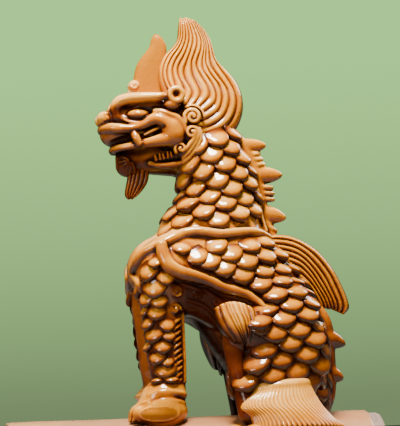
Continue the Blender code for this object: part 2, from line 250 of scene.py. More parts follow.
class Clay:
    """A lump of clay, as the distances from a grid's points to its surface, on the side where y >= 0."""

    def __init__(self, low, high, cell):
        self.low = np.array(low, float)
        self.cell = cell
        count = np.ceil((np.array(high) - self.low) / cell).astype(int) + 1
        self.field = np.full(count, FAR, np.float32)

    def unite(self, shape, blend, sign):
        """Adds a shape, or presses it in where sign is -1, with a fillet of about blend."""
        first = np.floor((shape.low - REACH - self.low) / self.cell).astype(int)
        last = np.ceil((shape.high + REACH - self.low) / self.cell).astype(int) + 1
        first = np.clip(first, 0, self.field.shape)
        last = np.clip(last, first, self.field.shape)
        axes = [(self.low[n] + self.cell * np.arange(first[n], last[n])).astype(np.float32) for n in range(3)]
        region = tuple(map(slice, first, last))
        if self.field[region].size:
            away = shape.distance(*np.meshgrid(*axes, indexing="ij", sparse=True))
            self.field[region] = sign * united(sign * self.field[region], away, blend)

    def lump(self, blend, centre, radii, tilt=0.0):
        """Adds a ball."""
        self.unite(ball(centre, radii, tilt), blend, 1)

    def roll(self, blend, *stations, flat=1.0, closed=False):
        """Adds a roll of clay through (x, y, z, radius) stations."""
        self.unite(limb(stations, flat, closed), blend, 1)

    def dent(self, blend, centre, radii, tilt=0.0):
        """Presses a ball in."""
        self.unite(ball(centre, radii, tilt), blend, -1)

    def groove(self, blend, *stations, flat=1.0):
        """Presses a roll in."""
        self.unite(limb(stations, flat), blend, -1)

    def at(self, points):
        """Distances at points, between the grid's own."""
        place = (np.asarray(points) - self.low) / self.cell
        place[:, 1] = np.abs(place[:, 1])
        place = np.clip(place, 0, np.array(self.field.shape) - 1.001)
        first = place.astype(int)
        share = place - first
        found = np.zeros(len(place))
        for corner in CORNERS:
            weight = np.prod(np.where(corner, share, 1 - share), 1)
            found += weight * self.field[tuple((first + corner).T)]
        return found

    def normals(self, points, step):
        """Directions out of the clay at points."""
        steps = step * np.eye(3)
        slope = np.stack([self.at(points + unit) - self.at(points - unit) for unit in steps], 1)
        return slope / np.maximum(np.linalg.norm(slope, axis=1, keepdims=True), 1e-9)

    def cast(self, start, directions, reach=130.0, step=0.8):
        """Where lines from a point inside the clay first leave it."""
        steps = np.arange(0, reach, step)
        values = self.at((start + steps[:, None] * directions[:, None]).reshape(-1, 3))
        values = values.reshape(len(directions), -1)
        first = np.argmax(values > 0, 1)
        row = np.arange(len(directions))
        a, b = values[row, first - 1], values[row, first]
        left = (first > 0) & (values[:, 0] < 0)
        out = steps[first - 1] + step * a / np.where(left, a - b, 1)
        return (start + out[:, None] * directions)[left]

    def side(self, x, z):
        """How far out the clay reaches at (x, z)."""
        out = np.arange(0, self.field.shape[1]) * self.cell
        values = self.at(np.stack([np.full(out.shape, x), out, np.full(out.shape, z)], 1))
        inside = np.flatnonzero(values < 0)
        if not len(inside) or inside[-1] + 1 == len(out):
            return 0.0
        last = inside[-1]
        return out[last] + self.cell * values[last] / (values[last] - values[last + 1])

    def draped(self, path, lift=0.0, out=0.0, tries=40):
        """Stations of a roll that lies on the side of the clay, from (x, z, radius).

        Where the clay's side is nearer to the middle than out, the station moves in along X.
        """
        stations = []
        for x, z, radius in path:
            for _ in range(tries):
                if self.side(x, z) >= out:
                    break
                x += 1.0 if x < 0 else -1.0
            stations.append((x, self.side(x, z) + lift, z, radius))
        return stations

    def skin(self, wave):
        """The whole surface, both sides: points, outward quads, pooling with painted shade, and crests with
        painted highlight.
        """
        half = self.field
        field = np.concatenate([half[:, :0:-1], half], 1)
        low = self.low - (0, (half.shape[1] - 1) * self.cell, 0)
        field = field + wave * handwork(low, self.cell, field.shape)
        for end in (0, -1):
            field[end] = field[:, end] = field[:, :, end] = 1
        points, faces = netted(field, low, self.cell)
        normals = self.normals(points, self.cell)
        # Glaze pools where clay is near in front, with painted shade there and on what faces down; it runs
        # off what is thin, and a highlight is painted on what faces up
        near, wide = (fade(self.at(points + far * normals), far, 0) for far in (3.2, 8.0))
        thin = fade(self.at(points - 4.5 * normals), -4.5, 0)
        pool = np.clip(1.5 * near + 0.4 * wide + 0.3 * fade(normals[:, 2], 0, -1), 0, 1)
        crest = np.clip(1.6 * thin + 0.9 * fade(normals[:, 2], 0.35, 0.85) - pool, 0, 1.1)
        return points, faces, pool, crest


def handwork(low, cell, shape):
    """Slow unevenness from -1 to 1, as hand-pressed clay has, unlike on the two sides."""
    x, y, z = (low[n] + cell * np.arange(shape[n], dtype=np.float32) for n in range(3))
    waves = [np.sin(a * x[:, None, None] + b * y[:, None] + c * z + phase) for a, b, c, phase in WAVES]
    return sum(waves) / len(WAVES)


def netted(field, low, cell):
    """A closed skin of quads round the negative part of a field, by surface nets."""
    inside = field < 0
    shape = np.array(field.shape) - 1
    windows = [tuple(map(slice, corner, corner + shape)) for corner in CORNERS]
    full = sum(inside[window].astype(np.int8) for window in windows)
    cells = np.argwhere((full > 0) & (full < 8))
    values = np.stack([field[tuple((cells + corner).T)] for corner in CORNERS], 1)
    place, count = np.zeros((len(cells), 3)), np.zeros((len(cells), 1))
    for a, b in EDGES:
        crossing = ((values[:, a] < 0) != (values[:, b] < 0))[:, None]
        gap = np.where(crossing[:, 0], values[:, a] - values[:, b], 1.0)
        point = CORNERS[a] + (values[:, a] / gap)[:, None] * (CORNERS[b] - CORNERS[a])
        place += np.where(crossing, point, 0)
        count += crossing
    number = np.full(shape, -1, np.int32)
    number[tuple(cells.T)] = np.arange(len(cells))
    faces = []
    units = np.eye(3, dtype=int)
    for axis in range(3):
        first, second = (
            inside[tuple(ends if n == axis else slice(1, -1) for n in range(3))]
            for ends in (slice(0, -1), slice(1, None))
        )
        side, up = units[(axis + 1) % 3], units[(axis + 2) % 3]
        for leaving, edges in ((1, np.argwhere(first & ~second)), (-1, np.argwhere(second & ~first))):
            start = edges + side + up
            ring = (start - side - up, start - up, start, start - side)[::leaving]
            faces.append(np.stack([number[tuple(corner.T)] for corner in ring], 1))
    return low + cell * (cells + place / count), np.concatenate(faces).tolist()


# Meshes


def placed(name, data):
    """A new object in the scene."""
    obj = bpy.data.objects.new(name, data)
    bpy.context.scene.collection.objects.link(obj)
    return obj


def piece_of(name, body, tint=0.0, material=None):
    """A smooth piece from a body: points, faces, pooling with painted shade, and crests with painted
    highlight. The glaze reads those two and tint.
    """
    points, faces, pool, crest = body
    mesh = bpy.data.meshes.new(name)
    mesh.from_pydata(points * MM, [], faces)
    for title, values in (("pool", pool), ("crest", crest), ("tint", tint)):
        spread = np.broadcast_to(np.asarray(values, np.float32), len(points))
        mesh.attributes.new(title, "FLOAT", "POINT").data.foreach_set("value", np.ascontiguousarray(spread))
    mesh.shade_smooth()
    mesh.materials.append(material or glaze())
    return placed(name, mesh)


def loft(sections, fans=True):
    """Points and faces of a body through closed sections, an array [station, point, 3], its ends fanned."""
    points = sections.reshape(-1, 3)
    ring = np.arange(len(points)).reshape(sections.shape[:2])
    after = np.roll(ring, -1, 1)
    faces = np.stack([ring[:-1], after[:-1], after[1:], ring[1:]], -1).reshape(-1, 4).tolist()
    if fans:
        first = len(points)
        points = np.concatenate([points, sections[:1].mean(1), sections[-1:].mean(1)])
        for a, b, c, d in zip(ring[0], after[0], ring[-1], after[-1]):
            faces += [(first, b, a), (first + 1, c, d)]
    return points, faces


def outward(points, faces):
    """The faces, all turned over where their body's volume is negative."""
    corners = np.array([(face[0], b, c) for face in faces for b, c in zip(face[1:], face[2:])])
    a, b, c = points[corners].transpose(1, 0, 2)
    return faces if (a * np.cross(b, c)).sum() > 0 else [face[::-1] for face in faces]


def paced(points, count):
    """A smooth curve through points, as count points at even distances."""
    curve = flowing(points, 12)
    along = np.concatenate([[0], np.cumsum(np.linalg.norm(np.diff(curve, axis=0), axis=1))])
    even = np.linspace(0, along[-1], count)
    return np.stack([np.interp(even, along, column) for column in curve.T], 1)


def between(curves, shares):
    """Smooth blends of evenly spread curves, an array [curve, point, 2], at shares from 0 to 1."""
    dense = flowing(curves, 24)
    place = shares * (len(dense) - 1)
    first = np.minimum(place.astype(int), len(dense) - 2)
    share = (place - first)[:, None, None]
    return dense[first] * (1 - share) + dense[first + 1] * share


def combed(guides, ribs, half, groove, stations, fine=7, ragged=0.0, edge=8, dark=1.0, middle=0.0, lean=0.0,
           seed=0, uneven=0.0):
    """A lock of clay combed into ribs: guides run from root to tip, from its front edge to its back edge.

    half is the half thickness, a function of (share across, share along), groove the depth between ribs,
    and a lower edge rounds the lock more. Ragged is how unlike the ribs' ends are, dark the pooling and
    painted shade between ribs, and uneven the spread of their widths. The lock is off the plane of symmetry
    by middle, and by lean more at its tip.
    """
    random = np.random.default_rng(seed)
    count = max(ribs, 1)
    s = np.linspace(0, 1, max(ribs, 2) * fine + 1)[:, None]
    shifted = s + uneven * (np.sin(8 * s + seed) + np.sin(19 * s)) * s * (1 - s)
    ridge = np.abs(np.sin(np.pi * ribs * shifted)) ** 0.65 if ribs else np.ones_like(s)
    reach = random.uniform(1 - ragged, 1, count)
    rib = np.minimum((s * count).astype(int), count - 1)
    steps = 3 * stations
    curves = between(np.array([paced(guide, steps) for guide in guides]), s[:, 0])
    t = np.linspace(0, 1, stations)[None] ** 0.9
    place = t * (reach[rib] * (0.955 + 0.045 * ridge)) * (steps - 1)
    first = np.minimum(place.astype(int), steps - 2)
    share = (place - first)[..., None]
    row = np.arange(len(s))[:, None]
    flat = curves[row, first] * (1 - share) + curves[row, first + 1] * share
    every = np.ones(place.shape)
    thick = half(s, t) * every * np.sqrt(1 - 0.999 * np.abs(2 * s - 1) ** edge) * np.sqrt(1 - 0.98 * t**10)
    depth = groove * (1 - ridge) * np.clip(1.15 - t**6, 0, 1)
    thick = np.maximum(thick - np.minimum(depth, 0.5 * thick), 0.05)
    x, z = flat.transpose(2, 0, 1)
    near, far = (np.stack([x, middle + lean * t + side * thick, z], 2) for side in (1, -1))
    points, faces = loft(np.concatenate([near, far[::-1]]).transpose(1, 0, 2))
    # Pooled glaze and painted shade in the valleys between ribs, and a painted highlight with thin glaze
    # along each rib's top
    valley, rise = dark * (1 - ridge) ** 1.3 * every, 0.7 * ridge**6 * every
    pool, crest = (
        np.append(np.concatenate(sides).T.ravel(), (0, 0)) for sides in ((valley, valley[::-1]), (rise, rise))
    )
    return points, outward(points, faces), pool, crest


def scroll(x, y, z, radius, thick, begin, turns, rise=0.0):
    """Stations of a scroll that winds inwards from an angle in degrees, and rises towards its eye."""
    made = []
    count = max(4, int(8 * abs(turns)) + 1)
    for n in range(count):
        share = n / (count - 1)
        angle = math.radians(begin) + 2 * math.pi * turns * share
        out = radius * (1 - 0.86 * share)
        made.append((x + out * math.cos(angle), y + rise * share, z + out * math.sin(angle), thick))
    return made


# The lowest and highest corners of the two grids
HEAD_GRID = ((-113, 0, 346), (64, 56, 484))
BODY_GRID = ((-102, 0, 34), (172, 110, 412))

# The head

# Directions round a ring, from below its front
RING = [(math.cos(math.radians(turn)), math.sin(math.radians(turn))) for turn in range(-30, 301, 30)]


def head_clay(grain):
    clay = Clay(*HEAD_GRID, grain)
    # Skull, muzzle and lower jaw
    clay.lump(3, (-8, 0, 425), (40, 31, 37))
    clay.lump(10, (-50, 0, 430), (42, 23, 20))
    clay.lump(8, (-34, 0, 446), (36, 25, 13))
    clay.lump(8, (-72, 0, 441), (14, 15, 12))
    clay.lump(6, (-78, 0, 416), (20, 20, 14))
    clay.roll(5, (-6, 0, 396, 28), (-30, 0, 391, 21), (-50, 0, 388, 15), (-73, 0, 391, 9), flat=0.86)
    clay.lump(4, (-68, 0, 382), (14, 12.5, 13))
    clay.roll(8, (8, 0, 404, 30), (20, 0, 380, 36), flat=0.84)
    # Eye sockets and mouth, pressed in
    clay.dent(3, (-56, 32, 437), (19, 12, 9), -3)
    clay.groove(1.5, (-100, 0, 403.5, 1.4), (-93, 10, 404, 1.8), (-84, 17, 406.5, 2.8),
        (-75, 21, 408.5, 3.8), (-65, 25, 410.5, 4.3), (-56, 29, 412, 4.4), (-46, 31, 414.6, 4.4),
        (-38, 33, 416.8, 4.0), (-31.5, 34, 418.4, 2.8), flat=1.9)
    # Eye and lower lid
    clay.lump(1, (-56.2, 21.5, 434.6), (13, 8.4, 6.3), -3)
    clay.roll(2.5, (-74, 17, 432.5, 2.4), (-68, 22, 427.5, 2.8), (-59, 25, 425.2, 2.9),
        (-50, 26.5, 426, 2.8), (-43, 28, 431, 2.8), (-37, 29.5, 436, 2.6))
    # Brow and the bridge of the nose
    clay.lump(4, (-77.5, 9, 441), (8.5, 7, 10), 20)
    clay.roll(2.2, (-77, 13, 431, 4.2), (-81, 13, 437.5, 5.6), (-80.5, 14, 445.5, 6.6),
        (-75.5, 17, 451, 6.8), (-66, 22, 453.2, 6), (-53, 27, 453.4, 5.5), (-37, 31, 453, 5.1),
        (-26, 32, 452.8, 4.4), flat=1.2)
    # Nose, with its knobs and nostrils
    clay.lump(5, (-84, 0, 432.5), (13, 13, 10.5))
    clay.lump(2.5, (-92.3, 8.6, 433.5), (9.4, 8.6, 8.4))
    clay.lump(2, (-80.5, 13.2, 433.5), (5.4, 5.2, 5))
    clay.dent(1, (-93, 16.8, 431), (2.4, 3.4, 2))
    clay.roll(1, *scroll(-92.3, 15.6, 433.5, 5.6, 1.4, 60, 0.8))
    # Lips and cheek
    clay.roll(1.5, (-95.3, 0, 422, 5.3), (-93.5, 9, 422, 5.5), (-87, 17, 421.3, 5.8), (-78, 21.5, 420, 5.6),
        (-68, 24, 419.4, 5.0), (-59.5, 25.5, 420.4, 4.6), (-51, 27, 423.4, 5.2), (-44, 28.5, 427, 6.2),
        (-37, 29.5, 428.4, 7), (-30, 30.5, 425.5, 7.8), (-22, 30, 420.5, 9))
    clay.lump(5, (-19.5, 25.5, 412.5), (15, 15, 18))
    clay.roll(1.5, (-85, 0, 399, 4.1), (-83, 9, 399, 4.3), (-77, 15.5, 399.4, 4.5), (-68, 20, 400, 4.6),
        (-57, 24, 401.4, 5), (-46, 27, 403, 5.8), (-36, 28.5, 404.4, 7.2), (-26, 28.5, 406, 9))
    clay.groove(1.2, (-54, 33, 412.5, 2.8), (-45, 35, 414.8, 3.4), (-38, 37, 417, 3.3),
        (-32, 39, 418.6, 2.4), flat=1.8)
    clay.groove(3, (-80, 12, 391.5, 3), (-70, 18.5, 391, 4.2), (-56, 22, 391, 5), (-42, 26, 391.5, 4.6),
        (-30, 30, 392, 3.6), flat=1.3)
    # Fang, and the tongue between the teeth
    clay.roll(0.8, (-63, 26, 413, 4.3), (-61, 28.4, 407.5, 4.4), (-58.4, 28.6, 402, 3.9))
    clay.roll(1, (-51, 24.5, 412, 2.8), (-44, 27.5, 415.5, 2.6), (-36.5, 29.5, 418.5, 1.9))
    # Roll above the cheek
    clay.roll(2, (-39, 28.5, 437.5, 3), (-32, 31, 436, 3.6), (-23, 32.5, 432.5, 4), (-15, 33, 428, 4),
        (-9, 33, 421, 3.6), (-7, 32.5, 412, 3))
    # Ring knob, the bulb under it and the ear scrolls
    clay.lump(1.2, (-20.4, 29, 444), (9.6, 10, 8.4))
    clay.lump(1.2, (-16.2, 31, 453.8), (10.4, 7.5, 10.4))
    clay.roll(1.5, *[(-16.2 + 6.9 * c, 36.5, 453.8 + 6.9 * s, 3.3) for c, s in RING], closed=True)
    clay.dent(1.2, (-16.2, 40, 453.8), (3.2, 6, 3.6))
    clay.lump(1, (1, 28, 429), (9, 6.5, 9.5))
    clay.roll(0.6, *scroll(1, 34, 429, 9.6, 2.6, 215, -1.6, 1.5))
    clay.roll(0.8, *[(1 + 12.4 * c, 31.5, 429.4 + 12.4 * s, 2) for c, s in RING[1:6]])
    clay.lump(1, (-0.5, 28, 410), (9.5, 6.5, 10))
    clay.roll(0.6, *scroll(-0.5, 33.5, 411.5, 8.6, 2.6, -80, 1.4, 2.5))
    # Jaw curl, and the strands that sweep down round it to the chin
    clay.lump(1, (-13.5, 27.5, 394), (8, 6.5, 8))
    clay.roll(0.6, *scroll(-13.5, 33, 394.5, 6.6, 2.1, -140, -1.2, 2))
    for n, (dx, dz) in enumerate(((0, 0), (-4.0, 3.2), (-7.6, 6.8))):
        clay.roll(0.8, (8 + 0.7 * dx, 33 + n, 416 - 0.4 * dz, 2.2), (9 + 0.9 * dx, 33 + n, 407.5, 2.6),
            (5.5 + dx, 32.5 + n, 398 + 0.4 * dz, 2.7), (-1.5 + 0.8 * dx, 31 + n, 388 + 0.9 * dz, 2.6),
            (-10 + 0.4 * dx, 28.5 + n, 381.5 + 0.9 * dz, 2.2))
    clay.roll(1.5, (-4, 29.5, 384.5, 2.6), (-13, 27, 380, 3.2), (-25, 23.5, 378, 3.8),
        (-36, 19.5, 379, 3.4), (-46, 16.5, 381.5, 2.6))
    tips = ((0.8, -1.6), (1.0, -1.0), (0.8, -1.8), (1.2, -0.6), (0.9, -1.4), (1.3, 0.4))
    for n, (grow, lean) in enumerate(tips):
        x, y, z = -39 + 4.1 * n, 21 + 1.6 * n, 386.4 + 0.5 * n
        clay.roll(0.7, (x, y, z - 1.5, 2.3), (x + lean, y + 2, z + 3.4 * grow, 1.3))
    # Knob curl in front of the horn
    clay.lump(1.5, (-58, 5, 470), (6.3, 6, 6.3))
    clay.lump(3, (-57, 0, 462), (9, 9, 6))
    clay.roll(0.6, *scroll(-58.3, 10.4, 470, 4.2, 1.4, 200, 1.1))
    # Hair combed out from the middle of the chin
    for angle in (150, 178, 206, 234, 262, 290):
        c, s = math.cos(math.radians(angle)), math.sin(math.radians(angle))
        clay.roll(1.8, (-66 + 3 * c, 13, 385.5 + 3 * s, 0.9), (-66 + 8 * c, 12, 385 + 7.5 * s, 1.3),
            (-66 + 13 * c, 7.5, 384 + 12 * s, 0.9))
    return clay


# The body


def trunk(clay):
    clay.roll(3, (14, 0, 410, 32), (22, 0, 385, 38), (29.5, 0, 352, 41), (28.5, 0, 324, 45),
        (21, 0, 298, 55), flat=0.84)
    clay.lump(7, (0, 0, 257), (64, 52, 49))
    clay.lump(4, (-32, 0, 266), (42.5, 42, 38))
    clay.lump(10, (-20, 34, 258), (48, 26, 46))
    clay.lump(10, (30, 34, 245), (58, 26, 50), -35)
    clay.roll(8, (12, 0, 290, 54), (40, 0, 255, 62), (66, 0, 212, 63), (86, 0, 165, 57), (92, 0, 120, 52),
        (89, 0, 80, 48), flat=0.88)


def hind_leg(clay):
    clay.lump(10, (88, 44, 168), (48, 29, 58))
    clay.lump(14, (84, 40, 207), (42, 27, 40), -20)
    clay.roll(8, (80, 42, 183, 30), (55, 56, 186, 23), (40, 57, 187, 18))
    clay.lump(6, (38, 57, 190), (19, 12, 24), 10)
    clay.lump(6, (63, 54, 140), (27, 24, 42))
    clay.roll(3, (31, 56, 178, 12), (34, 57, 154, 11.5), (39.5, 60, 128, 12.5), (46, 64, 100, 15))
    clay.lump(4, (82, 68, 96), (34, 17, 30))
    clay.lump(6, (72, 79, 66), (50, 20, 19))
    clay.roll(6, (80, 72, 96, 18), (64, 77, 77, 17), (42, 80, 70, 15))
    for n, (y, z) in enumerate(((68, 79), (77, 74), (86, 65), (93, 54))):
        x = 24 + 2.5 * abs(n - 1.3)
        clay.lump(2, (x, y, z), (13, 6.5, 8.5))
        clay.roll(1.5, (x - 8, y, z - 1, 3.6), (x - 14, y + 0.5, z - 6, 2.2))


# The middle of the smooth pad on the paw's side, as (x, z)
PAD = (-54, 103)


def foreleg(clay):
    clay.roll(8, (-36, 37, 258, 31), (-43, 37, 228, 24), (-42, 37, 198, 21.5), (-41, 37, 170, 20.8),
        (-39.5, 37, 150, 19.2), (-39.5, 37, 134, 18), (-41, 37, 108, 18.5), flat=0.92)
    # The notched band down its back edge, with a scroll at its top
    clay.roll(1, *clay.draped(((-23, 212, 3), (-23, 190, 3), (-23, 165, 3), (-23.5, 138, 2.8)), 0.2))
    for n in range(11):
        x, z = -29.2 - 0.15 * n, 203 - 6.5 * n
        clay.roll(0.8, *clay.draped(((x - 3.4, z - 3.4, 1.2), (x, z, 2), (x + 4, z + 2.8, 1.5)), 0.7))
    y = clay.side(-30.3, 215.7)
    clay.roll(1, *scroll(-30.3, y, 215.7, 5.8, 2.1, 0, 1.2, 2))
    # Cuff, paw, toes and the smooth pad on its side
    clay.roll(1.5, (-40.5, 37, 133.5, 19), (-42.5, 37, 126, 21.5), (-46, 37, 118, 25), (-48, 38, 111, 26))
    clay.lump(4, (-52, 38, 106), (32, 24, 15))
    clay.roll(1.4, (-78, 40, 113, 1.4), (-68, 54, 116.5, 1.6), (-50, 60.5, 118, 1.6), (-32, 57, 116.5, 1.4),
        (-24, 48, 115, 1.2))
    for n, y in enumerate((22, 32, 43, 52)):
        clay.lump(1.5, (-76 + 2.2 * abs(n - 1.5), y, 104), (9.5, 6, 9))
        clay.roll(1.2, (-81 + 2.2 * abs(n - 1.5), y, 102, 3), (-85 + 2.4 * abs(n - 1.5), y, 97, 2))
    x, z = PAD
    clay.lump(1, (x, 54.5, z), (24, 9.5, 8.6))
    clay.roll(1.2, *[(x + 22 * c, 60.5 - 3 * c * c, z + 7.6 * s, 1.5) for c, s in RING], closed=True)


BAND_TOP = (
    (-70, 238, 2.6), (-71, 247.3, 4.4), (-70, 259.5, 5.4), (-67, 270.8, 5.8), (-60, 279.2, 6),
    (-44, 286.2, 6.2), (-28.7, 293.9, 6), (-15, 299.2, 5.8), (0.3, 300.7, 5.6), (22, 296.8, 5.8),
    (36, 297.5, 5.6), (56, 300, 5), (70, 299.5, 4.2), (83, 296, 3),
)
BAND_LOW = (
    (-43, 285, 6.4), (-41.5, 272, 7.6), (-36, 261.2, 8), (-25, 254.4, 7.6), (-7.3, 249.6, 6.8),
    (8, 244, 6.4), (21, 237, 6), (35.5, 232.8, 5.6), (46.5, 229.1, 5.2), (56.3, 222.6, 4.2),
    (65, 214.5, 2.6),
)


def bands(clay):
    """The forked band over the shoulder and back, and the small curls on the smooth flank under it."""
    clay.groove(4, *clay.draped([(x - 1, z - r - 2, 0.55 * r) for x, z, r in BAND_LOW[1:-1]], 1))
    for path, out in ((BAND_TOP, 16), (BAND_LOW, 0)):
        clay.roll(1.5, *clay.draped(path, 1.2, out))
    for x, z, radius, begin in ((-29, 234, 6, 90), (-6, 232, 5.5, 60), (14, 221, 5, 120)):
        y = clay.side(x, z) + 0.3
        clay.roll(1.8, *scroll(x, y, z, radius, 1.8, begin, -1.1, 1))
    for path in (
        ((-16, 226, 1.6), (-4, 222, 2.2), (8, 214, 1.8), (15, 205, 1.2)),
        ((-2, 240, 1.4), (9, 232, 2), (20, 223, 1.8), (28, 216, 1.2)),
        ((-24, 244, 1.4), (-14, 241, 1.8), (-4, 237, 1.4)),
    ):
        clay.roll(1.6, *clay.draped(path, 0.2))


def cuff(clay):
    """The cuff of the forepaw and the fold under it."""
    path = ((-63, 124, 1.6), (-52, 126.5, 2.4), (-38, 126.5, 2.4), (-24, 124.5, 2.2), (-18, 124, 1.5))
    clay.roll(3, *clay.draped(path, -1.4))
    fold = ((-62, 118, 1.2), (-50, 120.5, 1.4), (-36, 120.5, 1.4), (-22, 118.5, 1.6), (-17, 118, 1.6))
    clay.groove(1, *clay.draped(fold, 0.3))


# The outline of the smooth flank under the lower band, painted dark as shade, as (x, z)
FLANK = (
    (-36, 252), (-20, 248), (-5, 244), (10, 238), (24, 230), (36, 224), (20, 196), (-8, 196), (-20, 214),
    (-34, 226), (-40, 240),
)
# Each spine: its root, its tip and the radius of its root
SPINES = (
    ((58, 399.5), (86, 400.5), 10), ((70, 367), (102.5, 367), 11), ((74, 325), (104, 319), 11.5),
    ((132, 187), (163, 177), 12.5), ((132, 150), (158.5, 139), 12),
)
# The curls between the spines: their ends and slope
CURLS = (
    (77.5, 391, 0.1), (80, 385, 0.1), (82, 379, 0.1), (90, 353, 0), (91, 346.5, 0), (91, 340, 0),
    (88, 311, -0.3), (92, 305, -0.4), (144.5, 205, -0.3), (146, 198.5, -0.3), (148, 166, 0),
    (148.5, 159.5, 0), (146, 129, -0.5), (145, 122, -0.5), (142, 115, -0.5),
)


def spine_ridge(clay):
    """The ridge of the back, its line along the scales, its spines and the curls between them."""
    clay.roll(3, (42, 0, 414, 9), (57, 0, 400, 9.5), (68, 0, 376, 9), (75, 0, 348, 8.5),
        (77.5, 0, 318, 8.5), (88, 0, 295, 7), (112, 0, 259, 5), (130, 0, 224, 6), (141, 0, 200, 8.5),
        (143, 0, 167, 8.5), (141.5, 0, 126, 8.5), (133, 0, 104, 8.5))
    for (x, z), (tip_x, tip_z), radius in SPINES:
        dx, dz = tip_x - x, tip_z - z
        clay.roll(2, (x, 0, z, radius), (x + 0.5 * dx, 0, z + 0.46 * dz, 0.8 * radius),
            (x + 0.82 * dx, 0, z + 0.8 * dz, 0.46 * radius),
            (x + 0.95 * dx, 0, z + 0.96 * dz, 0.2 * radius), flat=0.85)
    for x, z, tilt in CURLS:
        clay.roll(1.4, (x - 16, 4.5, z + 1 - 16 * tilt, 1.8), (x - 6, 5, z - 6 * tilt, 2.7),
            (x - 0.5, 0, z, 3))
    clay.roll(1, (46, 12, 404, 1.4), (58, 11.5, 390, 1.8), (67, 11, 370, 1.9), (73.5, 11, 346, 1.9),
        (75.5, 11.5, 322, 1.9), (80, 12, 303, 1.7))
    clay.roll(1, (132, 12, 205, 1.5), (138, 12, 180, 1.8), (139, 12, 150, 1.8), (136, 12, 122, 1.6))


def body_clay(grain):
    """The clay with its bands and spines, and as it was before them."""
    clay = Clay(*BODY_GRID, grain)
    for part in (trunk, hind_leg, foreleg):
        part(clay)
    bare = deepcopy(clay)
    for part in (bands, cuff, spine_ridge):
        part(clay)
    # Hollow underneath, where the tile passes
    clay.groove(1, (-110, 0, 0, TILE_RADIUS - 6), (180, 0, 0, TILE_RADIUS - 6))
    return clay, bare


# Scales

# Rows of scales, from the top down: where a row passes, its slope in degrees and its scales' spacing
NECK_ROWS = ((13.5, 413.5, 18, 25), (24.5, 363.5, 19, 25), (35, 315.5, 19, 25.5))
BODY_ROWS = (
    (41, 291, 24, 25), (51, 262, 14, 25.5), (62.6, 239, 7, 26), (68.5, 210, 7, 28), (71, 190, 9, 29),
    (75.5, 166, 11.5, 29), (82, 140, 12, 29.5), (88, 112, 12, 30),
)
# The middle of the neck and trunk, as (x, z)
AXIS = (
    (18, 410), (26, 378), (29, 350), (27, 322), (24, 300), (36, 262), (62, 215), (84, 165), (92, 120),
    (90, 80),
)
# The outline, in the plane of symmetry, of what carries no scales: face, flank, knee and shin
PLAIN = (
    (-120, 420), (12, 420), (6, 398), (-12, 372), (-40, 350), (-120, 340), (-120, 236), (-80, 245),
    (-75, 262), (-64, 276), (-48, 284), (-37, 280), (-30, 260), (-8, 251), (6, 245), (16, 237), (28, 230),
    (48, 228), (62, 217), (54, 204), (48, 190), (48, 176), (47, 165), (42, 157), (38, 149), (32, 140),
    (28, 130), (27, 112), (22, 90), (-120, 60),
)
# How far back the scales reach, as (z, x)
BACK_LINE = (
    (106, 130), (134, 133), (158, 135), (178, 132), (196, 129), (216, 127), (232, 125), (246, 122),
    (260, 116), (272, 107), (282, 98), (294, 88),
)
# Scales of a foreleg: x, z, width and length
LEG_SCALES = (
    (-50.5, 267.5, 15, 13), (-58.5, 258, 21, 18), (-40.5, 250, 17, 14), (-68, 243, 13, 19),
    (-53, 239, 23, 18), (-61, 228.5, 18, 15), (-48.5, 225.5, 17, 13), (-63, 215.5, 11, 11),
    (-51.5, 213, 18, 14), (-60.5, 203, 16, 13), (-41, 200, 16, 14), (-55, 189.5, 21, 15),
    (-39.5, 188, 14, 12), (-61, 178, 13, 11), (-46, 176.5, 18, 14), (-52, 164, 18, 13),
    (-41.5, 160, 13, 11), (-45, 150, 20, 13), (-53, 139.5, 13, 9), (-38.5, 140.5, 15, 9),
    (-21, 283, 19, 16), (57, 190, 20, 14),
)
# A scale's section from its root to its tip: height at shares of its length
SCALE_SHARES = (0, 0.18, 0.36, 0.54, 0.72, 0.86, 0.95, 1)
SCALE_HEIGHTS = (-0.9, 0.3, 2.4, 4.9, 6.8, 6.9, 5.3, 3.0)
SCALE_SHAPES = {
    "scales": dict(root=-15, corner=-0.5, tip=10.8, closed=0.5, bend=0.008),
    "leg_scales": dict(root=-9.5, corner=0.3, tip=9.5, closed=0.95, bend=0.018, shine=1.5),
}


def laid(clay, points, slope, step, size):
    """Scales on the clay: their points, directions out, directions down and sizes."""
    out = clay.normals(points, step)
    down = np.stack([slope, 0 * slope, -np.ones(len(points))], 1)
    down -= (down * out).sum(1, keepdims=True) * out
    down /= np.linalg.norm(down, axis=1, keepdims=True)
    return points, out, down, size


def lattice(clay, guide, count):
    """Scales in staggered rows round the trunk."""
    anchors = flowing(guide, 20)
    along = np.concatenate([[0], np.cumsum(np.hypot(*np.diff(anchors[:, :2], axis=0).T))])
    axis = np.array(AXIS)[::-1]
    turn = np.radians(np.arange(0, 181, 2.5))
    random = np.random.default_rng(4)
    found = []
    for n, far in enumerate(np.linspace(0, along[-1], count)):
        x, z, slope, width = (np.interp(far, along, column) for column in anchors.T)
        slope = math.tan(math.radians(slope))
        middle = np.interp(z, axis[:, 1], axis[:, 0])
        lean = math.hypot(1, slope)
        rays = np.stack([np.cos(turn) / lean, np.sin(turn), slope * np.cos(turn) / lean], 1)
        ring = clay.cast(np.array((middle, 0, z + slope * (middle - x))), rays)
        if len(ring) < 20:
            continue
        round_ = np.concatenate([[0], np.cumsum(np.linalg.norm(np.diff(ring, axis=0), axis=1))])
        # The row starts from where it passes its guide, every other one half a scale further
        near = int(np.argmin(np.abs(ring[:, 0] - x) + 1000 * (ring[:, 1] < 10)))
        first = round_[near] + (0.5 * width if n % 2 else 0)
        for place in first + width * np.arange(-12, 13):
            if 9 < place < round_[-1]:
                point = np.array([np.interp(place, round_, column) for column in ring.T])
                found.append((*point + random.normal(0, 0.5, 3), slope, width))
    found = np.array(found)
    size = np.ones((len(found), 3)) * random.uniform(0.95, 1.05, (len(found), 1))
    size[:, 0] *= found[:, 4] / SCALE_WIDTH
    return laid(clay, found[:, :3], found[:, 3], 11.0, size)


